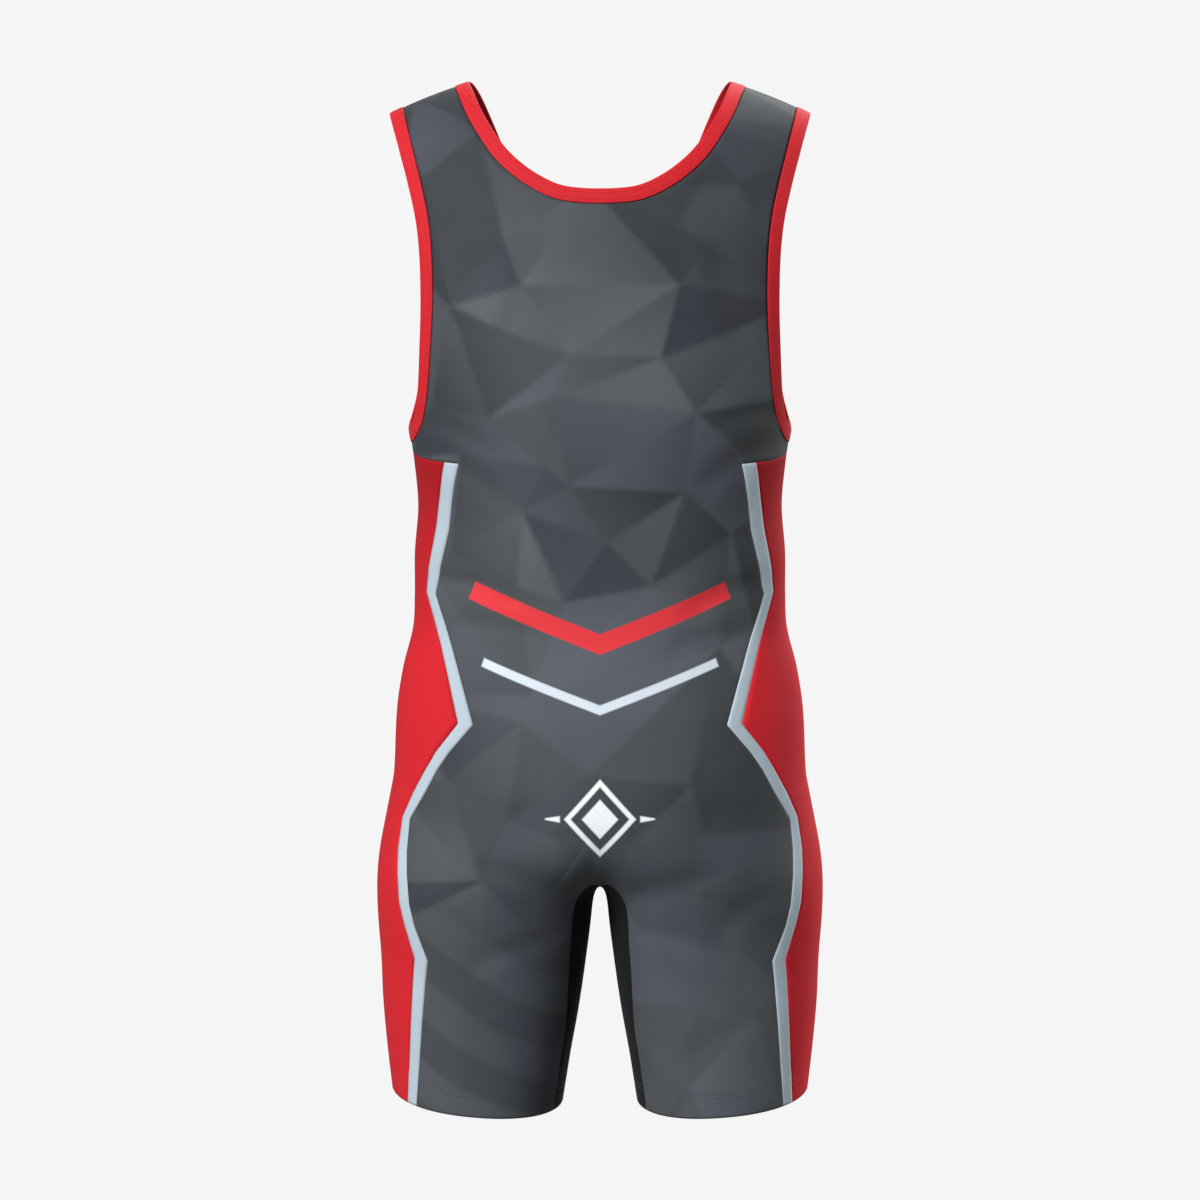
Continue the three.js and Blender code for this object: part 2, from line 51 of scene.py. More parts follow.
# Cloth, bindings and thread
CLOTH_WALL = 0.8
SEAM_DIP = 0.35
BINDING_WIDTH = 12.0
BINDING_CLOTH = 0.6
BINDING_FOLD = 0.85
BINDING_LIFT = 0.42
SEAM_GAP = 0.3
STITCH_PITCH = 3.2
STITCH_LENGTH = 2.4
STITCH_SQUASH = (1.25, 0.8)
THREAD = 0.42
WELD = 0.02 * MM
SIDES = ((1, "left"), (-1, "right"))

# Shoulders: the straps arch over from back to front, and their ridge falls towards the arm
RIDGE_TOP = 30
RIDGE_FALL = 44
ARCH_RISE = 150
NECK_POINT = 112
SHOULDER_TIP = 180

# Levels
SIDE_PANEL_TOP = -306
YOKE_LEVEL = -250
SEAT_TOP = -605
CROTCH = -684
THIGH_TOP = -708
HEM = -870
HEM_BAND = 30

# The hem drops a little towards the back and towards the inside of the leg
HEM_DROP_BACK = 0.09
HEM_RISE_OUT = 0.08

# How square the sections are: 2 is an ellipse
BODY_SQUARENESS = 2.3
LEG_SQUARENESS = 2.2
CROTCH_SQUARENESS = 2.4

# Where the seat turns into the leg, as a turn round the leg from its back
LEG_CORNER = 35
SEAT_PULL_LEVEL = 1.5
SEAT_PULL_DOWN = 1.35
SEAT_FADE = 0.7
GUSSET_REACH_BACK = 46
GUSSET_REACH_FRONT = 42

# Cells of the cloth, each about 2.5 mm
PANEL_CELLS = 53
STRIPE_CELLS = 5
SIDE_CELLS = 19
CROTCH_CELLS = 30
GUSSET_CELLS = 42
STRAP_CELLS = 17


def table(names, rows):
    """A table's columns by name, one row for each section."""
    return dict(zip(names.split(), np.array(rows, float).T))


BODY = table("height half_width back front", [
    (130, 206, 104, 100),
    (0, 206, 104, 101),
    (-60, 203, 104, 103),
    (-120, 196, 108, 108),
    (-180, 185.2, 112, 113),
    (-240, 172.6, 113, 116),
    (-285, 164.4, 110, 118),
    (-320, 159.4, 105, 116),
    (-354, 156.8, 100, 112),
    (-394, 159.8, 94, 107),
    (-430, 160, 90, 102),
    (-460, 161.5, 91, 101),
    (-496, 170.3, 98, 100),
    (-532, 175.7, 107, 98),
    (-587, 178.4, 117, 95),
    (-605, 181.5, 118, 94),
    (-630, 186.4, 118, 93),
])

LEG = table("height outer gap half_depth middle", [
    (-650, 190.3, 5, 100, 9),
    (-680, 193, 6, 97, 8),
    (-708, 192.8, 7, 94, 6),
    (-752, 189.9, 12.5, 89, 3),
    (-790, 188.5, 18.2, 86, 2),
    (-830, 185.3, 25.5, 83, 0),
    (-870, 181, 32, 80, 0),
])

# How far across the zigzag stripe's two edges lie at each height
STRIPE = table("height outer inner", [
    (-306, 134.5, 122.5),
    (-340, 138, 127),
    (-365, 141, 129.5),
    (-400, 147.5, 137.5),
    (-423, 149.5, 141.5),
    (-440, 144.5, 136),
    (-466, 137, 127.5),
    (-495, 130, 119),
    (-530, 122, 109),
    (-555, 140.5, 129.5),
    (-572, 150, 140.5),
    (-593, 160.5, 151),
    (-617, 170.5, 164),
    (-644, 174.5, 166.5),
    (-664, 175, 166.5),
    (-689, 173.5, 164.5),
    (-708, 169, 160),
    (-738, 160, 148.5),
    (-757, 161.5, 150.5),
    (-793, 163.5, 153.5),
    (-880, 167, 159.5),
])

GUSSET_SEAM = table("height across", [
    (-703, 23.5),
    (-725, 24.5),
    (-753, 26.5),
    (-806, 29.5),
    (-838, 34.5),
    (-871, 39.5),
])

# Free edges of the openings: turns from the centre back or front, and heights along the cloth
BACK_NECK = [
    (0, -64), (4.5, -63.5), (9.2, -61), (13.6, -54), (18.1, -42.5),
    (22.3, -26), (25.5, -5), (28.6, 25), (30.6, 62),
]
FRONT_NECK = [
    (0, -165), (5, -163), (9.5, -156), (13.5, -141), (17, -118),
    (20.5, -85), (24, -46), (27.5, 2), (30.4, 55),
]
ARMHOLE = [
    (90, -285), (78, -281.5), (69.4, -271), (64.1, -257), (60.6, -241), (57, -218), (53, -186),
    (50.4, -155), (48.9, -124), (48.9, -94), (50.6, -60), (53.2, -20), (56, 28),
]

# Above the yoke the straps part from the rest at these heights, on the neck's and the armhole's side
STRAP_ROOT = {
    "back": {"neck": -46, "arm": -120, "rows_below": 52, "rows_above": 67},
    "front": {"neck": -150, "arm": -190, "rows_below": 29, "rows_above": 100},
}

# Rows of cloth: each run goes from one level to the next in this many rows, corners of the stripe included
TRUNK_RUNS = [(-306, -423, 46), (-423, -530, 43), (-530, -605, 31)]
SEAT_RUNS = [(0, 0.115, 7), (0.115, 1, 40)]
LEG_RUNS = [(0, 0.185, 12), (0.185, 1, 55)]
YOKE_ROWS = 22


def curve(start, leave, end, arrive, f):
    """From start to end as f goes from 0 to 1, leaving and arriving at these slopes."""
    first = start * (1 + 2 * f) * (1 - f) ** 2 + leave * f * (1 - f) ** 2
    return first + end * f * f * (3 - 2 * f) + arrive * f * f * (f - 1)


def along(rows, column, height):
    """A smooth curve through a table's column; above and below the table it stays level."""
    h, c = rows["height"], rows[column]
    up = np.r_[0, np.arange(len(h) - 1)]
    down = np.r_[np.arange(1, len(h)), len(h) - 1]
    slope = (c[up] - c[down]) / (h[up] - h[down])
    at = np.clip(height, h[-1], h[0])
    i = np.clip(np.searchsorted(-h, -at, side="right") - 1, 0, len(h) - 2)
    span = h[i + 1] - h[i]
    return curve(c[i], slope[i] * span, c[i + 1], slope[i + 1] * span, (at - h[i]) / span)


def straight(rows, column, height):
    """The same, but straight between rows, so corners stay sharp."""
    return np.interp(-height, -rows["height"], rows[column])


def reach(rising, value, low, high):
    """The place between low and high where a rising function reaches a value."""
    low, high = low + 0.0 * value, high + 0.0 * value
    for _ in range(40):
        middle = (low + high) / 2
        short = rising(middle) < value
        low, high = np.where(short, middle, low), np.where(short, high, middle)
    return (low + high) / 2


def unit(vectors):
    return vectors / np.linalg.norm(vectors, axis=-1, keepdims=True)


def dot(a, b):
    return np.sum(a * b, axis=-1)


def smooth_step(f):
    """Rises smoothly from 0 to 1 as f does, and stays level beyond."""
    f = np.clip(f, 0, 1)
    return f * f * (3 - 2 * f)


def run_along(points):
    """How far each point of a line lies from its start, along the line."""
    return np.r_[0, np.cumsum(np.linalg.norm(np.diff(points, axis=0), axis=-1))]


def roundness(angle, squareness):
    """The reach of a rounded section of half width 1 in the direction of an angle."""
    return (np.abs(np.sin(angle)) ** squareness + np.abs(np.cos(angle)) ** squareness) ** (-1 / squareness)


def ridge(x):
    return RIDGE_TOP - RIDGE_FALL * (x / SHOULDER_TIP) ** 2


def ridge_height(x):
    """Height along the cloth at which the strap's arch reaches its ridge."""
    return ridge(x) - ARCH_RISE + ARCH_RISE * math.pi / 2


def trunk(turn, height):
    """A point of the trunk. Near the shoulders the height runs on over the arch."""
    turn, height = np.broadcast_arrays(np.asarray(turn, float), np.asarray(height, float))
    angle = np.radians(turn)
    round_ = roundness(angle, BODY_SQUARENESS)
    x = along(BODY, "half_width", height) * round_ * np.sin(angle)
    reach_back = np.where(turn < 90, along(BODY, "back", height), along(BODY, "front", height))
    foot = ridge(x) - ARCH_RISE
    lean = np.maximum(height - foot, 0) / ARCH_RISE
    y = reach_back * round_ * np.cos(angle) * np.cos(lean)
    z = np.minimum(height, foot) + ARCH_RISE * np.sin(lean)
    return np.stack([x, y, z], axis=-1)


def leg(place, drop):
    """A point of the leg, by its place round the ring and its drop from the thigh's top to the hem."""
    place, drop = np.broadcast_arrays(np.asarray(place, float), np.asarray(drop, float))
    outside = -LEG_CORNER + (180 + 2 * LEG_CORNER) * place / 2
    inside = 180 + LEG_CORNER + (180 - 2 * LEG_CORNER) * (place - 2) / 2
    angle = np.radians(np.where(place <= 2, outside, inside))
    height = THIGH_TOP + (HEM - THIGH_TOP) * drop
    outer, gap = along(LEG, "outer", height), along(LEG, "gap", height)
    round_ = roundness(angle, LEG_SQUARENESS)
    aside = (outer - gap) / 2 * round_ * np.sin(angle)
    y = along(LEG, "middle", height) + along(LEG, "half_depth", height) * round_ * np.cos(angle)
    tilt = np.maximum(drop, 0) * (HEM_RISE_OUT * aside - HEM_DROP_BACK * y)
    return np.stack([(outer + gap) / 2 + aside, y, height + tilt], axis=-1)


def crotch_line(place):
    """The line from the centre front, under the crotch, to the centre back."""
    angle = (place - 2) * math.pi / 2
    round_ = roundness(angle, CROTCH_SQUARENESS)
    front, back = (float(along(BODY, column, np.array(SEAT_TOP))) for column in ("front", "back"))
    y = -np.where(place < 3, front, back) * round_ * np.cos(angle)
    return np.stack([0 * y, y, SEAT_TOP + (CROTCH - SEAT_TOP) * round_ * np.sin(angle)], axis=-1)


def seat(place, drop):
    """The seat runs smoothly from the trunk and the crotch line into the top of the leg."""
    place, drop = np.broadcast_arrays(np.asarray(place, float), np.asarray(drop, float))
    small = 1e-3
    on_trunk = (place <= 2)[..., None]
    start = np.where(on_trunk, trunk(place * 90, SEAT_TOP), crotch_line(place))
    to = leg(place, 0)
    chord = to - start
    before, after = np.clip(place - small, 0, 4), np.clip(place + small, 0, 4)
    around = trunk(after * 90, SEAT_TOP) - trunk(before * 90, SEAT_TOP)
    falling = trunk(place * 90, SEAT_TOP - 1) - trunk(place * 90, SEAT_TOP + 1)
    towards = np.where(place < 3, small, -small)
    curving = crotch_line(place + towards) - crotch_line(place - towards)
    corner = ((place < small) | (np.abs(place - 2) < small) | (place > 4 - small))[..., None]
    level = np.where(on_trunk & ~corner, unit(around), np.array([1.0, 0, 0]))
    down = np.where(corner, np.array([0, 0, -1.0]), np.where(on_trunk, unit(falling), unit(curving)))
    fade = 1 - smooth_step(np.minimum(place - 2, 4 - place) / SEAT_FADE)
    leave = level * (dot(chord, level) * SEAT_PULL_LEVEL)[..., None]
    leave = leave + down * (dot(chord, down) * SEAT_PULL_DOWN * fade)[..., None]
    leg_down = unit(leg(place, 0.01) - leg(place, -0.01))
    arrive = leg_down * (np.abs(chord[..., 2]) * SEAT_PULL_DOWN)[..., None]
    return curve(start, leave, to, arrive, drop[..., None])


def cloth(part, place, at):
    if part == "trunk":
        return trunk(place * 90, at)
    return seat(place, at) if part == "seat" else leg(place, at)


def stripe_place(part, at, edge, front):
    """Where each row meets a stripe's edge, on the back or the front."""
    def ahead(place):
        points = cloth(part, 2 - place if front else place, at)
        return points[..., 0] - straight(STRIPE, edge, points[..., 2])
    place = reach(ahead, 0 * at, 0.2, 1.0)
    return 2 - place if front else place


def stripe_edges(part, at, front):
    """Where each row meets the stripe's inner and outer edge."""
    return [stripe_place(part, at, edge, front) for edge in ("inner", "outer")]


def gusset_place(part, at, front):
    """Where each row meets the gusset's seam, on the back or the front."""
    def turned(place):
        return 6 - place if front else place

    def on_leg(drop):
        def ahead(place):
            points = leg(turned(place), drop)
            return points[..., 0] - along(GUSSET_SEAM, "across", points[..., 2])
        return reach(ahead, 0 * drop, 3.0, 4.0)

    if part == "leg":
        return turned(on_leg(at))
    goal = GUSSET_REACH_FRONT if front else GUSSET_REACH_BACK
    on_line = reach(lambda place: np.abs(crotch_line(turned(place))[..., 1]), goal + 0 * at, 3.0, 4.0)
    # The seam leaves the crotch line slanting and has turned to run down by the top of the leg
    return turned(on_line + (on_leg(0 * at) - on_line) * (1 - (1 - at) ** 2))


def spread(start, end, cells):
    """Even steps from start to end, along a last axis."""
    f = np.linspace(0, 1, cells + 1)
    return np.asarray(start)[..., None] * (1 - f) + np.asarray(end)[..., None] * f


def run_rows(runs):
    rows = [np.linspace(start, end, cells + 1) for start, end, cells in runs]
    return np.concatenate([rows[0]] + [row[1:] for row in rows[1:]])


def smooth_line(points, at):
    """A smooth line through points; the first and the last point only steer its ends."""
    points = np.array(points, float)
    at = np.asarray(at, float)
    spans = len(points) - 3
    span = np.minimum(np.floor(at * spans).astype(int), spans - 1)
    f = (at * spans - span)[..., None]
    a, b, c, d = (points[span + k] for k in range(4))
    first = (c - a) * f
    square = (2 * a - 5 * b + 4 * c - d) * f * f
    cube = (3 * b - a - 3 * c + d) * f * f * f
    return b + (first + square + cube) / 2


def shoulder_spot(across):
    """The spot of the shoulder seam at a distance across from the body's middle."""
    across = np.asarray(across, float)
    height = ridge_height(across)
    turn = reach(lambda angle: trunk(angle, height)[..., 0], across, 0.0, 89.0)
    return np.stack([turn, height], axis=-1)


def opening_edge(rows, starts_at, shoulder_across):
    """The free edge of an opening, from its first row to the shoulder ridge."""
    end = shoulder_spot(shoulder_across)
    before = (2 * starts_at - rows[1][0], rows[1][1])
    beyond = (rows[-1][0], 2 * end[1] - rows[-1][1])
    return [before, *rows, tuple(end), beyond]


def on_trunk(spots, front):
    """The points of spots, each a turn from the centre back or front and a height along the cloth."""
    spots = np.asarray(spots, float)
    return trunk(180 - spots[..., 0] if front else spots[..., 0], spots[..., 1])


def slopes(spots, front):
    """How the cloth runs with each unit of turn and of height."""
    step = 0.1
    turned = (on_trunk(spots + (step, 0), front) - on_trunk(spots - (step, 0), front)) / (2 * step)
    raised = (on_trunk(spots + (0, step), front) - on_trunk(spots - (0, step), front)) / (2 * step)
    return turned, raised


def outward(spots, front):
    turned, raised = slopes(spots, front)
    facing = unit(np.cross(turned, raised))
    return facing if front else -facing


def inside_spots(edge, at, front, is_neck, width):
    """The spots that lie a width inside an opening's edge."""
    at = np.asarray(at, float)
    small = 1e-3
    start = smooth_line(edge, at)
    travel = on_trunk(smooth_line(edge, np.minimum(at + small, 1)), front)
    travel = travel - on_trunk(smooth_line(edge, np.maximum(at - small, 0)), front)
    turned, raised = slopes(start, front)
    inward = unit(np.cross(travel, np.cross(turned, raised))) * (1 if is_neck else -1)
    goal = on_trunk(start, front) + inward * width
    found = start.copy()
    for _ in range(6):
        turned, raised = slopes(found, front)
        miss = goal - on_trunk(found, front)
        tt, rr, tr = dot(turned, turned), dot(raised, raised), dot(turned, raised)
        mt, mr = dot(miss, turned), dot(miss, raised)
        det = tt * rr - tr * tr
        found[..., 0] += (mt * rr - mr * tr) / det
        found[..., 1] += (mr * tt - mt * tr) / det
        found[..., 0] = np.where(at == 0, start[..., 0], found[..., 0])
    if not is_neck:
        found[..., 1] = np.where(at == 0, start[..., 1] - width, found[..., 1])
    across = NECK_POINT if is_neck else SHOULDER_TIP
    step = width / math.hypot(1, 2 * RIDGE_FALL * across / SHOULDER_TIP ** 2)
    on_ridge = shoulder_spot(across + step if is_neck else across - step)
    return np.where((at == 1)[..., None], on_ridge, found)


def evenly(line, front, start, end, cells):
    """Fractions along a line of spots that cut it into equal lengths."""
    samples = np.linspace(start, end, 200)
    points = on_trunk(line(samples), front)
    lengths = run_along(points)
    fractions = np.interp(np.linspace(0, lengths[-1], cells + 1), lengths, samples)
    fractions[0], fractions[-1] = start, end
    return fractions


def between(start, end, cells):
    """Evenly spaced spots from one to another."""
    return spread(start, end, cells).T


def fill_between(bottom, top, left, right):
    """A grid of spots between four border lines."""
    u = np.linspace(0, 1, len(bottom))[None, :, None]
    v = np.linspace(0, 1, len(left))[:, None, None]
    vertical = (1 - v) * bottom[None] + v * top[None]
    level = (1 - u) * left[:, None] + u * right[:, None]
    corners = (1 - v) * ((1 - u) * bottom[0] + u * bottom[-1]) + v * ((1 - u) * top[0] + u * top[-1])
    return vertical + level - corners


def arc_from_centre(spots, front):
    """The length of cloth from the centre to each spot, along its height."""
    steps = np.linspace(0, 1, 33)
    turns = spots[..., 0, None] * steps
    heights = np.broadcast_to(spots[..., 1, None], turns.shape)
    points = on_trunk(np.stack([turns, heights], axis=-1), front)
    return np.sum(np.linalg.norm(np.diff(points, axis=-2), axis=-1), axis=-1)


# The cloth's points and its print's flat coordinates, piece by piece, for the +X half

def whole_run(part_rows, places_of):
    """The points of several runs of rows under each other, for the places that each row is divided at."""
    grids = []
    for k, (part, at) in enumerate(part_rows):
        at = at if k == 0 else at[1:]
        grids.append(cloth(part, places_of(part, at), at[:, None]))
    return np.concatenate(grids)


def divided(stops, cells):
    """Each row's places, evenly spaced from stop to stop."""
    spans = [spread(stops[k], stops[k + 1], cells[k])[:, min(k, 1):] for k in range(len(cells))]
    return np.concatenate(spans, axis=1)


def ring_places(part, at):
    """Places from the centre back round the side to the centre front, divided at the stripes."""
    back_in, back_out = stripe_edges(part, at, False)
    front_in, front_out = stripe_edges(part, at, True)
    stops = [0 * at, back_in, back_out, 1 + 0 * at, front_out, front_in, 2 + 0 * at]
    half = [PANEL_CELLS, STRIPE_CELLS, SIDE_CELLS]
    return divided(stops, half + half[::-1])


def inner_places(part, at):
    """Places from the centre front under the crotch to the centre back, divided at the gusset's seams."""
    front, back = gusset_place(part, at, True), gusset_place(part, at, False)
    return divided([2 + 0 * at, front, back, 4 + 0 * at], [CROTCH_CELLS, GUSSET_CELLS, CROTCH_CELLS])


def flat(u, v):
    return np.stack(np.broadcast_arrays(u, v), axis=-1)


def lower_patches():
    """Trunk below the arms, seat and leg: {piece: [(points, flat coordinates, turned over), ...]}."""
    trunk_rows = ("trunk", run_rows(TRUNK_RUNS))
    seat_rows = ("seat", run_rows(SEAT_RUNS))
    leg_rows = ("leg", run_rows(LEG_RUNS))
    ring = whole_run([trunk_rows, seat_rows, leg_rows], ring_places)
    steps = np.linalg.norm(np.diff(ring, axis=1), axis=-1)
    arc = ring[:, :1, 0] + np.concatenate([0 * steps[:, :1], np.cumsum(steps, axis=1)], axis=1)
    arc_front = ring[:, -1:, 0] + arc[:, -1:] - arc
    stops = np.cumsum([0, PANEL_CELLS, STRIPE_CELLS, 2 * SIDE_CELLS, STRIPE_CELLS, PANEL_CELLS])
    pieces = {}
    names = ["back_panel", "stripe_back", "side_panel", "stripe_front", "front_panel"]
    for k, name in enumerate(names):
        part = slice(stops[k], stops[k + 1] + 1)
        u = arc_front if "front" in name else arc
        pieces[name] = [(ring[:, part], flat(u[:, part], ring[:, part, 2]), False)]
    inner = whole_run([seat_rows, leg_rows], inner_places)
    stops = np.cumsum([0, CROTCH_CELLS, GUSSET_CELLS, CROTCH_CELLS])
    for k, name in enumerate(["front_panel", "gusset", "back_panel"]):
        points = inner[:, stops[k]:stops[k + 1] + 1]
        level = points[..., 1] if name == "gusset" else points[..., 0]
        pieces.setdefault(name, []).append((points, flat(level, points[..., 2]), False))
    return pieces


def opening_lines(front):
    neck = opening_edge(FRONT_NECK if front else BACK_NECK, 0, NECK_POINT)
    arm = opening_edge(ARMHOLE, 90, SHOULDER_TIP)
    return neck, arm


def upper_patches(front):
    """Shoulder blades or chest above the side panels."""
    width = BINDING_WIDTH + SEAM_GAP / 2
    neck_edge, arm_edge = opening_lines(front)
    root = STRAP_ROOT["front" if front else "back"]

    def neck_seam(at):
        return inside_spots(neck_edge, at, front, True, width)

    def arm_seam(at):
        return inside_spots(arm_edge, at, front, False, width)

    yoke_at = reach(lambda at: arm_seam(at)[..., 1], np.array(float(YOKE_LEVEL)), 0.0, 0.6)
    arm_root = reach(lambda at: arm_seam(at)[..., 1], np.array(float(root["arm"])), 0.0, 1.0)
    neck_root = reach(lambda at: neck_seam(at)[..., 1], np.array(float(root["neck"])), 0.0, 1.0)
    across = PANEL_CELLS + STRIPE_CELLS

    neck_low = neck_seam(evenly(neck_seam, front, 0, neck_root, across - STRAP_CELLS))
    neck_high = neck_seam(evenly(neck_seam, front, neck_root, 1, root["rows_above"]))
    arm_low = arm_seam(evenly(arm_seam, front, 0, yoke_at, SIDE_CELLS))
    arm_middle = arm_seam(evenly(arm_seam, front, yoke_at, arm_root, root["rows_below"]))
    arm_high = arm_seam(evenly(arm_seam, front, arm_root, 1, root["rows_above"]))

    foot_places = ring_places("trunk", np.array([float(SIDE_PANEL_TOP)]))[0, :across + SIDE_CELLS + 1]
    yoke_foot = np.stack([foot_places * 90, 0 * foot_places + SIDE_PANEL_TOP], axis=-1)
    yoke_level = between((0, YOKE_LEVEL), arm_low[-1], across)
    yoke_top = np.concatenate([yoke_level, arm_low[::-1][1:]])
    f = np.linspace(0, 1, YOKE_ROWS + 1)[:, None, None]
    yoke = yoke_foot * (1 - f) + yoke_top * f

    strap_foot = between(neck_high[0], arm_high[0], STRAP_CELLS)
    blade_top = np.concatenate([neck_low, strap_foot[1:]])
    centre = between(yoke_level[0], neck_low[0], root["rows_below"])
    blade = fill_between(yoke_level, blade_top, centre, arm_middle)
    ends = (on_trunk(neck_high[-1], front)[0], on_trunk(arm_high[-1], front)[0])
    shoulder = shoulder_spot(np.linspace(*ends, STRAP_CELLS + 1))
    strap = fill_between(strap_foot, shoulder, neck_high, arm_high)
    return [(on_trunk(spots, front), flat(arc_from_centre(spots, front), spots[..., 1]), not front)
            for spots in (yoke, blade, strap)]


# Creases: soft troughs and ridges in the stretched cloth.
# Each runs from one place to another as seen from behind or in front, with a half width and a height.
CREASES = [
    # side, x and z at one end, x and z at the other, half width, height
    ("back", 148, -292, 84, -336, 11, -1.7),
    ("back", 150, -270, 96, -292, 9, -1.2),
    ("back", -150, -288, -92, -322, 12, -1.8),
    ("back", -148, -262, -104, -268, 9, -1.0),
    ("back", 118, -196, 104, -128, 13, -1.5),
    ("back", -122, -206, -100, -118, 14, -1.8),
    ("back", -96, -176, -84, -120, 11, 1.1),
    ("back", 92, -182, 82, -138, 10, 0.9),
    ("back", 62, -92, 96, -60, 9, -1.0),
    ("back", -66, -96, -98, -58, 9, -1.1),
    ("back", 138, -408, 72, -424, 10, -1.4),
    ("back", -140, -412, -82, -432, 11, -1.6),
    ("back", 128, -448, 60, -452, 9, -1.1),
    ("back", -124, -456, -70, -462, 9, -1.2),
    ("back", 20, -688, 92, -655, 13, -2.0),
    ("back", -20, -688, -98, -662, 14, -2.2),
    ("back", 30, -716, 108, -742, 11, -1.2),
    ("back", -30, -712, -104, -728, 11, -1.4),
    ("back", 150, -690, 96, -726, 12, -1.3),
    ("back", -152, -676, -106, -708, 12, -1.4),
    ("back", 118, -796, 62, -822, 12, -0.9),
    ("back", -128, -790, -78, -826, 12, -1.0),
    ("front", 150, -290, 92, -330, 12, -1.7),
    ("front", -148, -294, -88, -340, 11, -1.8),
    ("front", 146, -262, 100, -272, 9, -1.1),
    ("front", -148, -258, -102, -266, 9, -1.0),
    ("front", 112, -210, 98, -150, 12, -1.4),
    ("front", -108, -204, -96, -140, 12, -1.5),
    ("front", 136, -414, 70, -430, 10, -1.3),
    ("front", -138, -410, -76, -428, 11, -1.5),
    ("front", 40, -470, -34, -476, 10, -1.0),
    ("front", 22, -672, 96, -634, 12, -2.0),
    ("front", -22, -674, -92, -640, 12, -1.9),
    ("front", 26, -700, 98, -690, 11, -1.4),
    ("front", -28, -698, -102, -694, 10, -1.3),
    ("front", 148, -700, 92, -738, 12, -1.2),
    ("front", -150, -696, -98, -730, 12, -1.3),
    ("front", 120, -800, 66, -826, 12, -0.9),
]
CREASE_GAIN = 1.3
CREASE_BOW = 4.0
CREASE_FADE = 30


def crease_height(points):
    """How far the cloth stands out or in at each point, in millimetres."""
    points = np.asarray(points, float)
    total = np.zeros(points.shape[:-1])
    for side, x0, z0, x1, z1, width, height in CREASES:
        run = np.array([x1 - x0, z1 - z0], float)
        length = np.hypot(*run)
        local = points[..., [0, 2]] - (x0, z0)
        along_run = local @ run / length
        aside = (local @ np.array([-run[1], run[0]])) / length
        aside = aside + CREASE_BOW * np.sin(along_run / length * math.pi) * np.sign(height * run[0])
        ends = smooth_step(np.minimum(along_run + 14, length + 22 - along_run) / CREASE_FADE)
        faces = np.clip((points[..., 1] if side == "back" else -points[..., 1]) / CREASE_FADE, 0, 1)
        total += CREASE_GAIN * height * ends * faces * np.exp(-(aside / width) ** 2)
    return total


def linear(hex_colour):
    """An sRGB hex colour as the linear colour that Blender works in."""
    channels = [int(hex_colour[i:i + 2], 16) / 255 for i in (1, 3, 5)]
    return tuple(c / 12.92 if c <= 0.04045 else ((c + 0.055) / 1.055) ** 2.4 for c in channels) + (1.0,)


def add(tree, kind, settings=None, **links):
    """Adds a node with its settings and its linked or fixed inputs."""
    node = tree.nodes.new(kind)
    for key, value in (settings or {}).items():
        setattr(node, key, value)
    for key, value in links.items():
        by_number = key[0] == "i" and key[1:].isdigit()
        socket = node.inputs[int(key[1:]) if by_number else key.replace("_", " ")]
        if hasattr(value, "links"):
            tree.links.new(value, socket)
        else:
            socket.default_value = value
    return node


def math_node(tree, operation, *values):
    inputs = {f"i{k}": value for k, value in enumerate(values)}
    return add(tree, "ShaderNodeMath", {"operation": operation}, **inputs).outputs[0]


def calculator(tree):
    """Maths nodes of one tree, called by their operation."""
    return lambda operation, *values: math_node(tree, operation, *values)


def mix_colour(tree, factor, low, high, blend="MIX"):
    settings = {"data_type": "RGBA", "blend_type": blend}
    return add(tree, "ShaderNodeMix", settings, i0=factor, i6=low, i7=high).outputs[2]


def new_material(name):
    material = bpy.data.materials.new(name)
    material.use_nodes = True
    tree = material.node_tree
    tree.nodes.clear()
    output = tree.nodes.new("ShaderNodeOutputMaterial")
    shader = tree.nodes.new("ShaderNodeBsdfPrincipled")
    tree.links.new(shader.outputs[0], output.inputs[0])
    return material, tree, shader


# Warp knit of nylon and elastane. Its real wales are 0.35 mm apart, but drawn so that they show.
WALE = 1.1 * MM
COURSE = 0.9 * MM
BINDING_WALE = 0.9 * MM
BINDING_COURSE = 0.7 * MM
KNIT_RELIEF = 0.3 * MM


def knit_height(tree, wale=WALE, course=COURSE):
    """The knit's relief, from the piece's flat coordinates in metres."""
    do = calculator(tree)
    cut = add(tree, "ShaderNodeUVMap", {"uv_map": "cut"}).outputs[0]
    parts = add(tree, "ShaderNodeSeparateXYZ", Vector=cut)
    turn = 2 * math.pi
    wales = do("ABSOLUTE", do("SINE", do("MULTIPLY", parts.outputs[0], turn / wale)))
    courses = do("MULTIPLY", parts.outputs[1], turn / course)
    loops = do("SINE", do("ADD", courses, do("MULTIPLY", wales, 1.4)))
    relief = do("MULTIPLY", do("ADD", loops, wales), 0.5)
    grain = add(tree, "ShaderNodeTexNoise", Vector=cut, Scale=900.0, Detail=2.0).outputs[0]
    return do("ADD", relief, do("MULTIPLY", grain, 0.8)), cut, parts


def cloth_shader(tree, shader, colour, height, roughness, sheen, bump, shine=0.2):
    """Sets a cloth's colour, gloss and relief on its shader."""
    if hasattr(colour, "links"):
        tree.links.new(colour, shader.inputs["Base Color"])
    else:
        shader.inputs["Base Color"].default_value = colour
    for socket, value in {
        "Roughness": roughness,
        "IOR": 1.5,
        "Specular IOR Level": shine,
        "Sheen Weight": sheen,
        "Sheen Roughness": 0.45,
    }.items():
        shader.inputs[socket].default_value = value
    relief = add(tree, "ShaderNodeBump", Strength=bump, Distance=KNIT_RELIEF, Height=height)
    tree.links.new(relief.outputs[0], shader.inputs["Normal"])


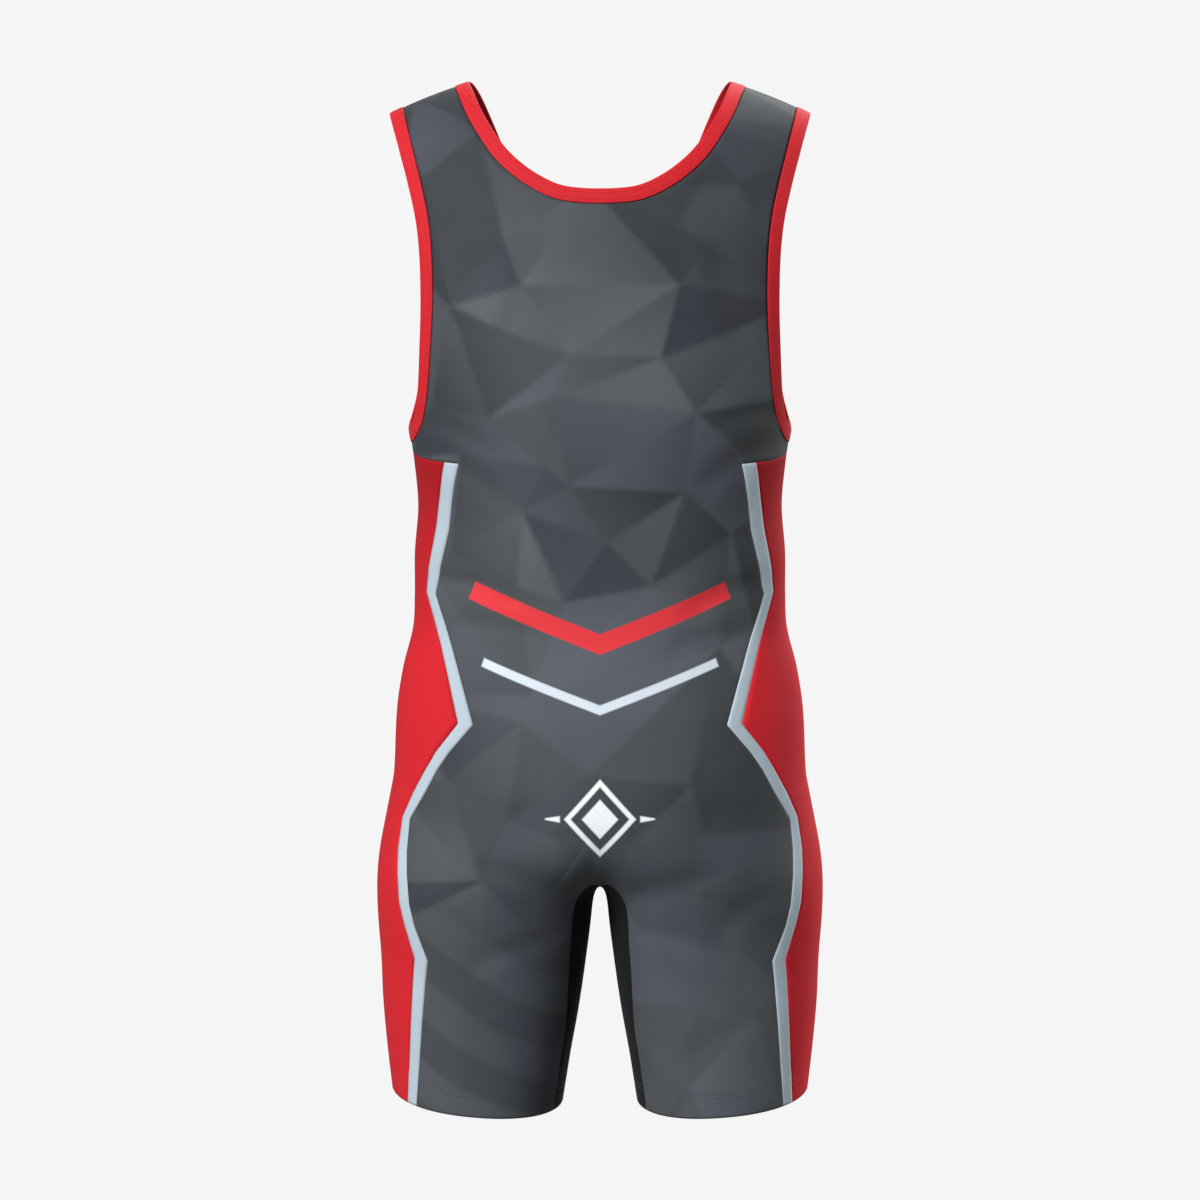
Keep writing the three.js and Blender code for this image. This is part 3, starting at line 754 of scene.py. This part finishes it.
def soft_mottle(tree, cut, colour, amount):
    """Slow unevenness of dye and stretch, a few centimetres across."""
    noise = add(tree, "ShaderNodeTexNoise", Vector=cut, Scale=28.0, Detail=3.0, Roughness=0.6).outputs[0]
    shade = math_node(tree, "MULTIPLY_ADD", noise, 2 * amount, 1 - amount)
    grey = add(tree, "ShaderNodeCombineColor", i0=shade, i1=shade, i2=shade).outputs[0]
    return mix_colour(tree, 1.0, colour, grey, "MULTIPLY")


# How far down the side panels the painted shade under the arm reaches from their top
UNDERARM_SHADE_REACH = 150


def plain_knit(name, hex_colour, roughness=0.68, shine=0.2, underarm_shade=None):
    """Dyed stretch knit: matt, with a faint sheen from the nylon and a fine loop relief.

    A painted shade may darken the colour towards the top of the piece, standing for the shade under the
    arm.
    """
    material, tree, shader = new_material(name)
    height, cut, parts = knit_height(tree)
    colour = linear(hex_colour)
    # Painted shade: the colour darkens towards the top of the piece, under the arm
    if underarm_shade:
        top, bottom = SIDE_PANEL_TOP * MM, (SIDE_PANEL_TOP - UNDERARM_SHADE_REACH) * MM
        fade = add(tree, "ShaderNodeMapRange", i0=parts.outputs[1], i1=bottom, i2=top).outputs[0]
        colour = mix_colour(tree, fade, colour, linear(underarm_shade))
    colour = soft_mottle(tree, cut, colour, 0.04)
    cloth_shader(tree, shader, colour, height, roughness, 0.02, 0.35, shine)
    return material


# The print's two chevrons on the lower back: a V of straight bands, in flat millimetres
CHEVRONS = [
    # apex, slope, half height, length, colour
    (-459.7, 0.39, 8.7, 121, "#D9353C"),
    (-514.8, 0.37, 4.0, 108.7, "#CBD6DF"),
]
PRINT_BLUR = 1.4

# A plain diamond ornament on the seat: a diamond in a diamond outline, between two small pointed bars
ORNAMENT_CENTRE = -607
ORNAMENT_COLOUR = "#E9EDEF"
DIAMOND_SQUASH = 0.9
DIAMOND_SLOPE = 0.74
OUTLINE_REACH = 28.0
OUTLINE_HALF = 2.1
MIDDLE_REACH = 15.5
BAR_TAPER = 0.17
BAR_HALF = 8.6
BAR_START = 34.5
BAR_END = 47.0


def inside(do, distance):
    """1 where a distance is above zero, with the print's soft edge."""
    return do("MULTIPLY_ADD", distance, 1 / PRINT_BLUR, 0.5)


def chevron_mask(do, aside, level, apex, slope, half_height, length):
    """1 on one chevron of the print."""
    angle = math.atan(slope)
    off_line = do("ABSOLUTE", do("ADD", level, do("MULTIPLY_ADD", aside, -slope, -apex)))
    thick = do("MULTIPLY_ADD", off_line, -math.cos(angle), half_height * math.cos(angle))
    lifted = do("ADD", level, -apex)
    run = do("MULTIPLY_ADD", lifted, math.sin(angle), do("MULTIPLY", aside, math.cos(angle)))
    return do("MINIMUM", inside(do, thick), inside(do, do("SUBTRACT", length, run)))


def ornament_mask(do, aside, level):
    """1 on the diamond ornament."""
    up = do("ABSOLUTE", do("ADD", level, -ORNAMENT_CENTRE))
    diamond = do("ADD", aside, do("MULTIPLY", up, DIAMOND_SQUASH))
    off_outline = do("ABSOLUTE", do("ADD", diamond, -OUTLINE_REACH))
    outline = do("MULTIPLY_ADD", off_outline, -DIAMOND_SLOPE, OUTLINE_HALF)
    middle = do("MULTIPLY_ADD", diamond, -DIAMOND_SLOPE, DIAMOND_SLOPE * MIDDLE_REACH)
    bar = do("MULTIPLY_ADD", up, -1.0, do("MULTIPLY_ADD", aside, -BAR_TAPER, BAR_HALF))
    start = do("ADD", aside, -BAR_START)
    end = do("MULTIPLY_ADD", aside, -1.0, BAR_END)
    bars = do("MINIMUM", do("MINIMUM", inside(do, bar), inside(do, start)), inside(do, end))
    return do("MAXIMUM", do("MAXIMUM", inside(do, outline), inside(do, middle)), bars)


def printed_knit(name, with_chevrons):
    """Sublimation-printed stretch knit: charcoal facets, with chevrons and an ornament on the back."""
    material, tree, shader = new_material(name)
    do = calculator(tree)
    height, cut, parts = knit_height(tree)
    facets = add(tree, "ShaderNodeAttribute", {"attribute_name": "print"}).outputs["Color"]
    channels = add(tree, "ShaderNodeSeparateColor", i0=facets)
    neutral = mix_colour(tree, channels.outputs[0], linear("#34383B"), linear("#5B6064"))
    bluish = mix_colour(tree, channels.outputs[0], linear("#35383F"), linear("#575B64"))
    colour = mix_colour(tree, channels.outputs[1], neutral, bluish)
    colour = soft_mottle(tree, cut, colour, 0.035)
    if with_chevrons:
        aside = do("MULTIPLY", do("ABSOLUTE", parts.outputs[0]), 1 / MM)
        level = do("MULTIPLY", parts.outputs[1], 1 / MM)
        printed = [(chevron_mask(do, aside, level, *sizes), hex_colour) for *sizes, hex_colour in CHEVRONS]
        printed.append((ornament_mask(do, aside, level), ORNAMENT_COLOUR))
        for mask, hex_colour in printed:
            mask = add(tree, "ShaderNodeClamp", Value=mask).outputs[0]
            colour = mix_colour(tree, mask, colour, linear(hex_colour))
    cloth_shader(tree, shader, colour, height, 0.66, 0.02, 0.35)
    return material


def binding_knit(name):
    """Folded elastic binding: a smoother, tighter knit with fine ribs across it."""
    material, tree, shader = new_material(name)
    height, cut, _ = knit_height(tree, BINDING_WALE, BINDING_COURSE)
    colour = soft_mottle(tree, cut, linear("#C6232C"), 0.04)
    cloth_shader(tree, shader, colour, height, 0.58, 0.02, 0.3, 0.1)
    return material


def thread_material(name, hex_colour):
    """Polyester sewing thread: twisted, slightly glossier than the knit."""
    material, tree, shader = new_material(name)
    coords = add(tree, "ShaderNodeTexCoord").outputs["Object"]
    slanting = {"bands_direction": "DIAGONAL"}
    twist = add(tree, "ShaderNodeTexWave", slanting, Vector=coords, Scale=900.0).outputs[1]
    cloth_shader(tree, shader, linear(hex_colour), twist, 0.45, 0.1, 0.3)
    return material


MATERIALS = {
    "back_print": printed_knit("sublimation_printed_knit_back", True),
    "front_print": printed_knit("sublimation_printed_knit_front", False),
    # The red side panels carry a painted shade, a darker red towards their top under the arm
    "red": plain_knit("red_stretch_knit", "#C0222B", shine=0.07, underarm_shade="#9A161D"),
    "pale": plain_knit("pale_grey_stretch_knit", "#A9B7C1"),
    "black": plain_knit("black_stretch_knit", "#0F1011", roughness=0.75),
    "binding": binding_knit("red_elastic_binding"),
    "inside_dark": plain_knit("knit_inside_charcoal", "#3A3E42", roughness=0.75),
    "inside_red": plain_knit("knit_inside_red", "#93232A", roughness=0.75),
    "red_thread": thread_material("red_polyester_thread", "#BB2029"),
    "dark_thread": thread_material("charcoal_polyester_thread", "#3B3F43"),
    "pale_thread": thread_material("pale_grey_polyester_thread", "#9CAAB4"),
}


BACK_PRINT_SEED = 9
FRONT_PRINT_SEED = 11

# The faceted print: straight-sided shards in a few random shades, made from a jittered set of points
FACET_SPACING = 72
FACET_JITTER = 0.46
FACET_EDGE = 4.6
FACET_ROWS = 20
FACET_TOP = 190
FACET_ROW_SHARE = 0.86
FACET_LEFT_OUT = 0.14
FACET_JOINED = 0.2
FACET_SHADES = (0.16, 0.3, 0.42, 0.5, 0.58, 0.7, 0.86)
FACET_BLUES = (0.0, 0.1, 0.25, 0.7, 1.0)
FACET_LEAN = 0.004

# On the left leg long slanting bands lie over the shards
BAND_TOP = -690
BAND_LENGTH = 105
BAND_WIDTH = 31
BAND_JITTER = 0.3
BAND_SLANT = math.radians(29)
BAND_CENTRE = (90, -790)
BAND_SHADES = np.array([0.2, 0.62, 0.34, 0.7, 0.16, 0.56])
BAND_KINK = 0.35
BAND_SHARE = 0.8

# Painted shade darkens the print a little over the seat, where the shards also grow faint
SEAT_LEVEL = -645
SEAT_SHADE_DEPTH = 0.2
FAINT_BELOW = -560


def facet_points(rng, banded):
    """Jittered points over the flat print, in slanting rows on the left leg where it is banded."""
    points = []
    for row in range(FACET_ROWS):
        for column in range(-6, 7):
            u = (column + row % 2 / 2 + rng.uniform(-1, 1) * FACET_JITTER) * FACET_SPACING
            v = FACET_TOP - (row + rng.uniform(-1, 1) * FACET_JITTER) * FACET_SPACING * FACET_ROW_SHARE
            if rng.random() > FACET_LEFT_OUT and not (banded and u > -10 and v < BAND_TOP):
                points.append((u, v))
    for row in range(-9, 10) if banded else ():
        for column in range(-3, 4):
            run = (column + row % 2 / 2 + rng.uniform(-1, 1) * BAND_JITTER) * BAND_LENGTH
            step = (row + rng.uniform(-1, 1) * BAND_JITTER) * BAND_WIDTH
            u = BAND_CENTRE[0] + run * math.cos(BAND_SLANT) - step * math.sin(BAND_SLANT)
            v = BAND_CENTRE[1] + run * math.sin(BAND_SLANT) + step * math.cos(BAND_SLANT)
            if u > 0 and v < BAND_TOP - 15:
                points.append((u, v))
    return [Vector(point) for point in points]


def facet_print(seed, banded):
    """Triangles of the print as arrays: corner points, shade, blueness and the shade's slope across."""
    rng = random.Random(seed)
    points = facet_points(rng, banded)
    verts, _, tris, *_ = delaunay_2d_cdt(points, [], [], 0, 1e-4)
    neighbours = {}
    for k, tri in enumerate(tris):
        for i in range(3):
            neighbours.setdefault(frozenset((tri[i], tri[(i + 1) % 3])), []).append(k)
    shade = [rng.choice(FACET_SHADES) for _ in tris]
    blue = [rng.choice(FACET_BLUES) for _ in tris]
    for pair in neighbours.values():
        if len(pair) == 2 and rng.random() < FACET_JOINED:
            shade[pair[1]] = shade[pair[0]]
            blue[pair[1]] = blue[pair[0]]
    lean = [(rng.uniform(-1, 1) * FACET_LEAN, rng.uniform(-1, 1) * FACET_LEAN) for _ in tris]
    corners = np.array([[tuple(verts[i]) for i in tri] for tri in tris])
    return corners, np.array(shade), np.array(blue), np.array(lean)


def band_shade(u, v):
    """The shade of the long slanting bands at flat coordinates, with kinked and soft edges."""
    aside, rise = u - BAND_CENTRE[0], v - BAND_CENTRE[1]
    run = (aside * math.cos(BAND_SLANT) + rise * math.sin(BAND_SLANT)) / BAND_LENGTH
    step = (rise * math.cos(BAND_SLANT) - aside * math.sin(BAND_SLANT)) / BAND_WIDTH
    step = step + BAND_KINK * np.abs(run % 2 - 1)
    index = np.floor(step).astype(int)
    soft = np.clip((step - index) * BAND_WIDTH / FACET_EDGE, 0, 1)
    below, here = (BAND_SHADES[k % len(BAND_SHADES)] for k in (index - 1, index))
    return below + (here - below) * soft


def shard_colours(cut_mm, seed, banded):
    """The shards' shade and blueness at flat coordinates, with soft edges between them."""
    corners, shade, blue, lean = facet_print(seed, banded)
    weight = np.zeros(len(cut_mm))
    total = np.zeros((len(cut_mm), 2))
    for k, tri in enumerate(corners):
        low, high = tri.min(axis=0) - FACET_EDGE, tri.max(axis=0) + FACET_EDGE
        near = np.flatnonzero(np.all((cut_mm > low) & (cut_mm < high), axis=1))
        if not len(near):
            continue
        spots = cut_mm[near]
        w = np.ones(len(near))
        for i in range(3):
            a, b = tri[i], tri[(i + 1) % 3]
            side = b - a
            inward = np.array([-side[1], side[0]]) / np.hypot(*side)
            if (tri[(i + 2) % 3] - a) @ inward < 0:
                inward = -inward
            w *= np.clip(0.5 + (spots - a) @ inward / FACET_EDGE, 0, 1)
        local = shade[k] + (spots - tri.mean(axis=0)) @ lean[k]
        weight[near] += w
        total[near, 0] += w * local
        total[near, 1] += w * blue[k]
    return total / np.maximum(weight, 1e-6)[:, None]


def facet_colours(cut_mm, seed, banded):
    """The print's shade and blueness at flat coordinates: the shards, toned over the body, with painted
    shade towards the sides, the straps and, on the back, under the seat.
    """
    colours = shard_colours(cut_mm, seed, banded)
    u, v = cut_mm.T
    if banded:
        share = BAND_SHARE * smooth_step((BAND_TOP - v) / 40) * smooth_step(u / 30)
        colours[:, 0] += (band_shade(u, v) - colours[:, 0]) * share
    u = np.abs(u)
    # The shards are faintest on the seat and legs. Painted shade darkens the print towards the straps and
    # the sides, standing for the light falling off there
    strength = 0.62 + 0.38 * smooth_step((v - FAINT_BELOW) / 160)
    level = 0.36 + 0.16 * smooth_step((v - FAINT_BELOW) / 90)
    colours[:, 0] = level + (colours[:, 0] - 0.5) * strength
    side = smooth_step((u - 55) / 95) * smooth_step((v + 640) / 120)
    strap = smooth_step((v + 230) / 150)
    colours[:, 0] -= np.maximum(0.28 * side, 0.42 * strap)
    # Painted shade under the seat, on the back only
    if banded:
        under_seat_shade = smooth_step((u - 40) / 40) * smooth_step(1.6 - np.abs(v - SEAT_LEVEL) / 60)
        colours[:, 0] -= SEAT_SHADE_DEPTH * under_seat_shade
    return colours


def fill_grid(bm, uv_layer, points, cut, turned_over):
    """Adds a grid and lays it on a patch of points."""
    rows, columns = points.shape[:2]
    made = bmesh.ops.create_grid(bm, x_segments=columns - 1, y_segments=rows - 1, size=0.5)["verts"]
    flat_of = {}
    for vert in made:
        i = round((vert.co.x + 0.5) * (columns - 1))
        j = round((vert.co.y + 0.5) * (rows - 1))
        flat_of[vert] = cut[j, i] * MM
        vert.co = Vector(points[j, i]) * MM
    faces = {face for vert in made for face in vert.link_faces}
    for face in faces:
        for loop in face.loops:
            loop[uv_layer].uv = flat_of[loop.vert]
    if turned_over:
        bmesh.ops.reverse_faces(bm, faces=list(faces))


def mirrored(points, cut, turned_over, side):
    if side > 0:
        return points, cut, turned_over
    return points * (-1, 1, 1), cut * (-1, 1), not turned_over


def cut_of_verts(mesh):
    """Each vertex's flat coordinates in millimetres."""
    vertex = np.empty(len(mesh.loops), int)
    mesh.loops.foreach_get("vertex_index", vertex)
    uv = np.empty(len(mesh.loops) * 2)
    mesh.uv_layers["cut"].data.foreach_get("uv", uv)
    cut = np.zeros((len(mesh.vertices), 2))
    cut[vertex] = uv.reshape(-1, 2)
    return cut / MM


def welded(patches):
    """A bmesh of patches of cloth, joined where they meet."""
    bm = bmesh.new()
    uv_layer = bm.loops.layers.uv.new("cut")
    for points, cut, turned_over in patches:
        fill_grid(bm, uv_layer, points, cut, turned_over)
    bmesh.ops.remove_doubles(bm, verts=bm.verts, dist=WELD)
    bm.normal_update()
    return bm


def linked(name, data):
    """Puts an object with this data in the scene."""
    made = bpy.data.objects.new(name, data)
    bpy.context.scene.collection.objects.link(made)
    return made


def in_scene(bm, name, materials):
    """Makes an object of the scene from a bmesh."""
    mesh = bpy.data.meshes.new(name)
    bm.to_mesh(mesh)
    bm.free()
    mesh.shade_smooth()
    for material in materials:
        mesh.materials.append(material)
    return linked(name, mesh)


def give_wall(piece, thickness, offset):
    """Thickens the cloth: inwards at an offset of -1, and to both sides at 0."""
    wall = piece.modifiers.new("wall", "SOLIDIFY")
    wall.thickness = thickness * MM
    wall.offset = offset
    return wall


def cloth_piece(name, patches, outside, inside_face, print_seed=None, banded=False):
    """One sewn panel: its patches welded, creased, dipped at the seams and given a thin wall."""
    bm = welded(patches)
    places = np.array([vert.co / MM for vert in bm.verts])
    heights = crease_height(places)
    hem_top = (HEM + HEM_BAND) * MM
    for vert, height in zip(bm.verts, heights):
        drop = SEAM_DIP if vert.is_boundary and vert.co.z > hem_top else 0.0
        vert.co += vert.normal * (height - drop) * MM
    piece = in_scene(bm, name, [MATERIALS[outside], MATERIALS[inside_face]])
    if print_seed is not None:
        mesh = piece.data
        colours = np.ones((len(mesh.vertices), 4))
        colours[:, :2] = facet_colours(cut_of_verts(mesh), print_seed, banded)
        attribute = mesh.attributes.new("print", "FLOAT_COLOR", "POINT")
        attribute.data.foreach_set("color", np.clip(colours, 0, 1).ravel())
    wall = give_wall(piece, CLOTH_WALL, -1)
    wall.material_offset = 1
    wall.material_offset_rim = 0
    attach(piece, "root")
    return piece


def both_sides(patches):
    return [mirrored(*patch, side) for side in (1, -1) for patch in patches]


def one_side(patches, side):
    return [mirrored(*patch, side) for patch in patches]


def make_panels():
    """Every sewn panel, by the node that it replaces."""
    lower = lower_patches()
    back = both_sides(lower["back_panel"] + upper_patches(False))
    front = both_sides(lower["front_panel"] + upper_patches(True))
    gusset = both_sides(lower["gusset"])
    pieces = {
        "back_panel": cloth_piece(
            "printed_back", back, "back_print", "inside_dark", BACK_PRINT_SEED, True),
        "front_panel": cloth_piece(
            "printed_front", front, "front_print", "inside_dark", FRONT_PRINT_SEED),
        "gusset": cloth_piece("inner_thigh_gusset", gusset, "black", "black"),
    }
    for side, word in SIDES:
        panel = one_side(lower["side_panel"], side)
        pieces[f"side_panel_{word}"] = cloth_piece(
            f"red_side_{word}", panel, "red", "inside_red")
        for where in ("back", "front"):
            stripe = one_side(lower[f"stripe_{where}"], side)
            pieces[f"stripe_{where}_{word}"] = cloth_piece(
                f"pale_stripe_{where}_{word}", stripe, "pale", "pale")
    for node, piece in pieces.items():
        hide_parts(node)
    return pieces


def binding_section():
    """A folded binding in section: how far in from the free edge, and how far out from the cloth."""
    section = [(BINDING_WIDTH + 0.5, 0.25), (BINDING_WIDTH - 0.3, BINDING_LIFT)]
    bulge = [(w, 0.16 * math.sin(math.pi * w / BINDING_WIDTH)) for w in (9.5, 7, 4.5, 2.2)]
    section += [(w, BINDING_LIFT + rise) for w, rise in bulge]
    centre = BINDING_LIFT - BINDING_FOLD
    for degrees in (90, 60, 30, 0, -30, -60, -90):
        angle = math.radians(degrees)
        section.append((BINDING_FOLD * (1 - math.cos(angle)), centre + BINDING_FOLD * math.sin(angle)))
    section += [(w, centre - BINDING_FOLD) for w in (4, 8, 11.5)]
    return section


def loop_lines(is_neck, widths, cells):
    """Surface points and outward directions along an opening, for each width in from its edge.

    A half opening runs over the back and then over the front, from one end to the other.
    """
    halves = []
    for front in (False, True):
        edge = opening_lines(front)[0 if is_neck else 1]
        ats = evenly(lambda at: inside_spots(edge, at, front, is_neck, 0.0), front, 0, 1, cells)
        spots = np.stack([inside_spots(edge, ats, front, is_neck, w) for w in widths], axis=1)
        halves.append((on_trunk(spots, front), outward(spots, front)))
    (back, back_out), (front, front_out) = halves
    points = np.concatenate([back, front[::-1][1:]])
    out = np.concatenate([back_out, front_out[::-1][1:]])
    middle = len(back) - 1
    out[middle] = unit(back_out[-1] + front_out[-1])
    points = points + out * crease_height(points)[..., None]
    return points, out


def closed_loop(points, out, is_neck):
    """Joins the half loop of a neck to its mirror image; an armhole's loop closes on itself."""
    if not is_neck:
        return points[:-1], out[:-1]
    other = points[::-1][1:-1] * (-1, 1, 1)
    other_out = out[::-1][1:-1] * (-1, 1, 1)
    return np.concatenate([points, other]), np.concatenate([out, other_out])


def make_binding(name, node, is_neck, side, cells):
    """A binding folded over the edge of an opening."""
    section = binding_section()
    points, out = loop_lines(is_neck, [max(w, 0.0) for w, _ in section], cells)
    points, out = closed_loop(points, out, is_neck)
    surface = points + out * np.array([o for _, o in section])[None, :, None]
    surface = np.concatenate([surface, surface[:1]])
    surface = surface * (side, 1, 1)
    run, across = run_along(surface[:, 0]), run_along(surface[0])
    cut = flat(across[None, :], run[:, None])
    bm = welded([(surface, cut, False)])
    topmost = max(bm.faces, key=lambda face: face.calc_center_median().z)
    if topmost.normal.z < 0:
        bmesh.ops.reverse_faces(bm, faces=bm.faces)
    piece = in_scene(bm, name, [MATERIALS["binding"]])
    give_wall(piece, BINDING_CLOTH, 0)
    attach(piece, "root")
    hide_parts(node)


def row_of_stitches(bm, points, out):
    """Lays short stitches of thread along a line of points."""
    run = run_along(points)
    count = int(run[-1] / STITCH_PITCH)
    centres = (np.arange(count) + 0.5) * run[-1] / count

    def at(places, rows):
        return np.stack([np.interp(places, run, rows[:, k]) for k in range(3)], axis=-1)

    place, facing = at(centres, points), at(centres, out)
    travel = at(centres + STITCH_LENGTH / 2, points) - at(centres - STITCH_LENGTH / 2, points)
    squash = Matrix.Diagonal((*STITCH_SQUASH, 1, 1))
    for k in range(count):
        forward = Vector(travel[k]).normalized()
        up = Vector(facing[k])
        up = (up - forward * up.dot(forward)).normalized()
        turn = Matrix((up.cross(forward), up, forward)).transposed().to_4x4()
        spot = Matrix.Translation(Vector(place[k]) * MM) @ turn @ squash
        bmesh.ops.create_cone(bm, cap_ends=True, segments=6, radius1=THREAD / 2 * MM,
                              radius2=THREAD / 2 * MM, depth=STITCH_LENGTH * MM, matrix=spot)


def stitch_object(name, rows, thread):
    """Rows of stitches as one piece."""
    bm = bmesh.new()
    for points, out in rows:
        row_of_stitches(bm, points, out)
    piece = in_scene(bm, name, [MATERIALS[thread]])
    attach(piece, "root")


# Two rows of stitches along each binding, by their distance from its free edge
STITCH_ROWS = (3.4, 9.0)
STITCH_LIFT = 0.84


def make_openings():
    """The folded bindings of the neck and armholes, each with two rows of stitches."""
    for name, node, is_neck, side, cells in (
        ("neck_binding_folded", "neck_binding", True, 1, 150),
        ("armhole_binding_folded_left", "armhole_binding_left", False, 1, 130),
        ("armhole_binding_folded_right", "armhole_binding_right", False, -1, 130),
    ):
        make_binding(name, node, is_neck, side, cells)
        rows = []
        for width in STITCH_ROWS:
            points, out = loop_lines(is_neck, [width], cells)
            points, out = closed_loop(points, out, is_neck)
            points = np.concatenate([points, points[:1]])[:, 0] * (side, 1, 1)
            out = np.concatenate([out, out[:1]])[:, 0] * (side, 1, 1)
            rows.append((points + out * STITCH_LIFT, out))
        stitch_object(name.replace("folded", "stitches"), rows, "red_thread")


# Heights of the two rows above the hem, and how far they stand off the cloth
HEM_STITCH_HEIGHTS = (17.0, 21.0)
HEM_STITCH_LIFT = 0.08


def hem_spans(drop):
    """The runs of each knit round the leg at the hem, with the thread that matches it."""
    (back_in,), (back_out,) = stripe_edges("leg", np.array([drop]), False)
    (front_in,), (front_out,) = stripe_edges("leg", np.array([drop]), True)
    return [
        ("dark_thread", "printed_knit", front_in, back_in + 4),
        ("pale_thread", "pale_knit", back_in, back_out),
        ("red_thread", "red_knit", back_out, front_out),
        ("pale_thread", "pale_knit", front_out, front_in),
    ]


def hem_line(start, end, drop):
    """A line round the leg just above the cloth, and the way it faces."""
    places = np.linspace(start, end, 2 + int(90 * (end - start)))
    small = 0.01
    points = leg(places % 4, drop)
    around = leg((places + small) % 4, drop) - leg((places - small) % 4, drop)
    falling = leg(places % 4, drop + small) - leg(places % 4, drop - small)
    out = unit(np.cross(falling, around))
    return points + out * (crease_height(points)[:, None] + HEM_STITCH_LIFT), out


def make_hem_stitches():
    """Two rows of stitches round each leg, above the turned hem."""
    lines = {}
    for height in HEM_STITCH_HEIGHTS:
        drop = 1 - height / (THIGH_TOP - HEM)
        for thread, slot, start, end in hem_spans(drop):
            lines.setdefault((thread, slot), []).append(hem_line(start, end, drop))
    for side, word in SIDES:
        for (thread, slot), rows in lines.items():
            turned = [(points * (side, 1, 1), out * (side, 1, 1)) for points, out in rows]
            stitch_object(f"hem_stitches_{slot}_{word}", turned, thread)


# Stage and camera, in metres and degrees
FLOOR_LEVEL = -1.46
FLOOR_HALF = 30
FLOOR_GREY = "#6E6E6E"
BACKDROP = "#F5F5F5"
CAMERA_RISE = math.radians(10)
CAMERA_DISTANCE = 9.0
AIM_HEIGHT = -0.437
LENS = 312.5


def make_floor():
    """A pale floor that shows the backdrop's colour and bounces a soft grey light."""
    bm = bmesh.new()
    bmesh.ops.create_grid(bm, x_segments=1, y_segments=1, size=FLOOR_HALF)
    material, tree, shader = new_material("matt_pale_floor")
    output = tree.nodes["Material Output"]
    tree.nodes.remove(shader)
    seen = add(tree, "ShaderNodeLightPath").outputs["Is Camera Ray"]
    matt = add(tree, "ShaderNodeBsdfDiffuse", Color=linear(FLOOR_GREY)).outputs[0]
    lit = add(tree, "ShaderNodeEmission", Color=linear(BACKDROP)).outputs[0]
    mixed = add(tree, "ShaderNodeMixShader", i0=seen, i1=matt, i2=lit)
    tree.links.new(mixed.outputs[0], output.inputs[0])
    floor = in_scene(bm, "studio_floor", [material])
    floor.location.z = FLOOR_LEVEL


def look(obj, target):
    """Turns a camera or light to face a point."""
    obj.rotation_euler = (Vector(target) - obj.location).to_track_quat("-Z", "Y").to_euler()


def make_camera():
    """A far camera behind the garment, a little above it."""
    data = bpy.data.cameras.new("camera")
    data.lens = LENS
    data.sensor_width = 36
    data.clip_end = 200
    camera = linked("camera", data)
    back, up = CAMERA_DISTANCE * math.cos(CAMERA_RISE), CAMERA_DISTANCE * math.sin(CAMERA_RISE)
    camera.location = (0, back, AIM_HEIGHT + up)
    look(camera, (0, 0, AIM_HEIGHT))
    bpy.context.scene.camera = camera


AMBIENT = 0.23
LIGHT_DISTANCE = 3
LIGHTS = [
    # name, turn from the back towards the wearer's left, rise, spread, strength
    ("key_light", 40, 32, 22, 4.25),
    ("right_fill", -112, 12, 50, 2.25),
    ("front_light", 203, 36, 40, 2.6),
]


def make_lights():
    """Soft studio suns, turned towards the garment."""
    for name, turn, rise, spread, strength in LIGHTS:
        data = bpy.data.lights.new(name, "SUN")
        data.angle = math.radians(spread)
        data.energy = strength
        light = linked(name, data)
        turn, rise = math.radians(turn), math.radians(rise)
        level = LIGHT_DISTANCE * math.cos(rise)
        light.location = (level * math.sin(turn), level * math.cos(turn), LIGHT_DISTANCE * math.sin(rise))
        look(light, (0, 0, 0))


def make_world():
    """A surround that shows the backdrop's colour and lights the garment faintly and evenly."""
    world = bpy.data.worlds.new("studio")
    bpy.context.scene.world = world
    world.use_nodes = True
    tree = world.node_tree
    tree.nodes.clear()
    output = tree.nodes.new("ShaderNodeOutputWorld")
    seen = add(tree, "ShaderNodeLightPath").outputs["Is Camera Ray"]
    strength = math_node(tree, "MULTIPLY_ADD", seen, 1.0 - AMBIENT, AMBIENT)
    background = add(tree, "ShaderNodeBackground", Color=linear(BACKDROP), Strength=strength)
    tree.links.new(background.outputs[0], output.inputs[0])
    bpy.context.scene.view_settings.view_transform = "Standard"


for node, piece in make_panels().items():
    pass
make_openings()
make_hem_stitches()
make_floor()
make_camera()
make_lights()
make_world()
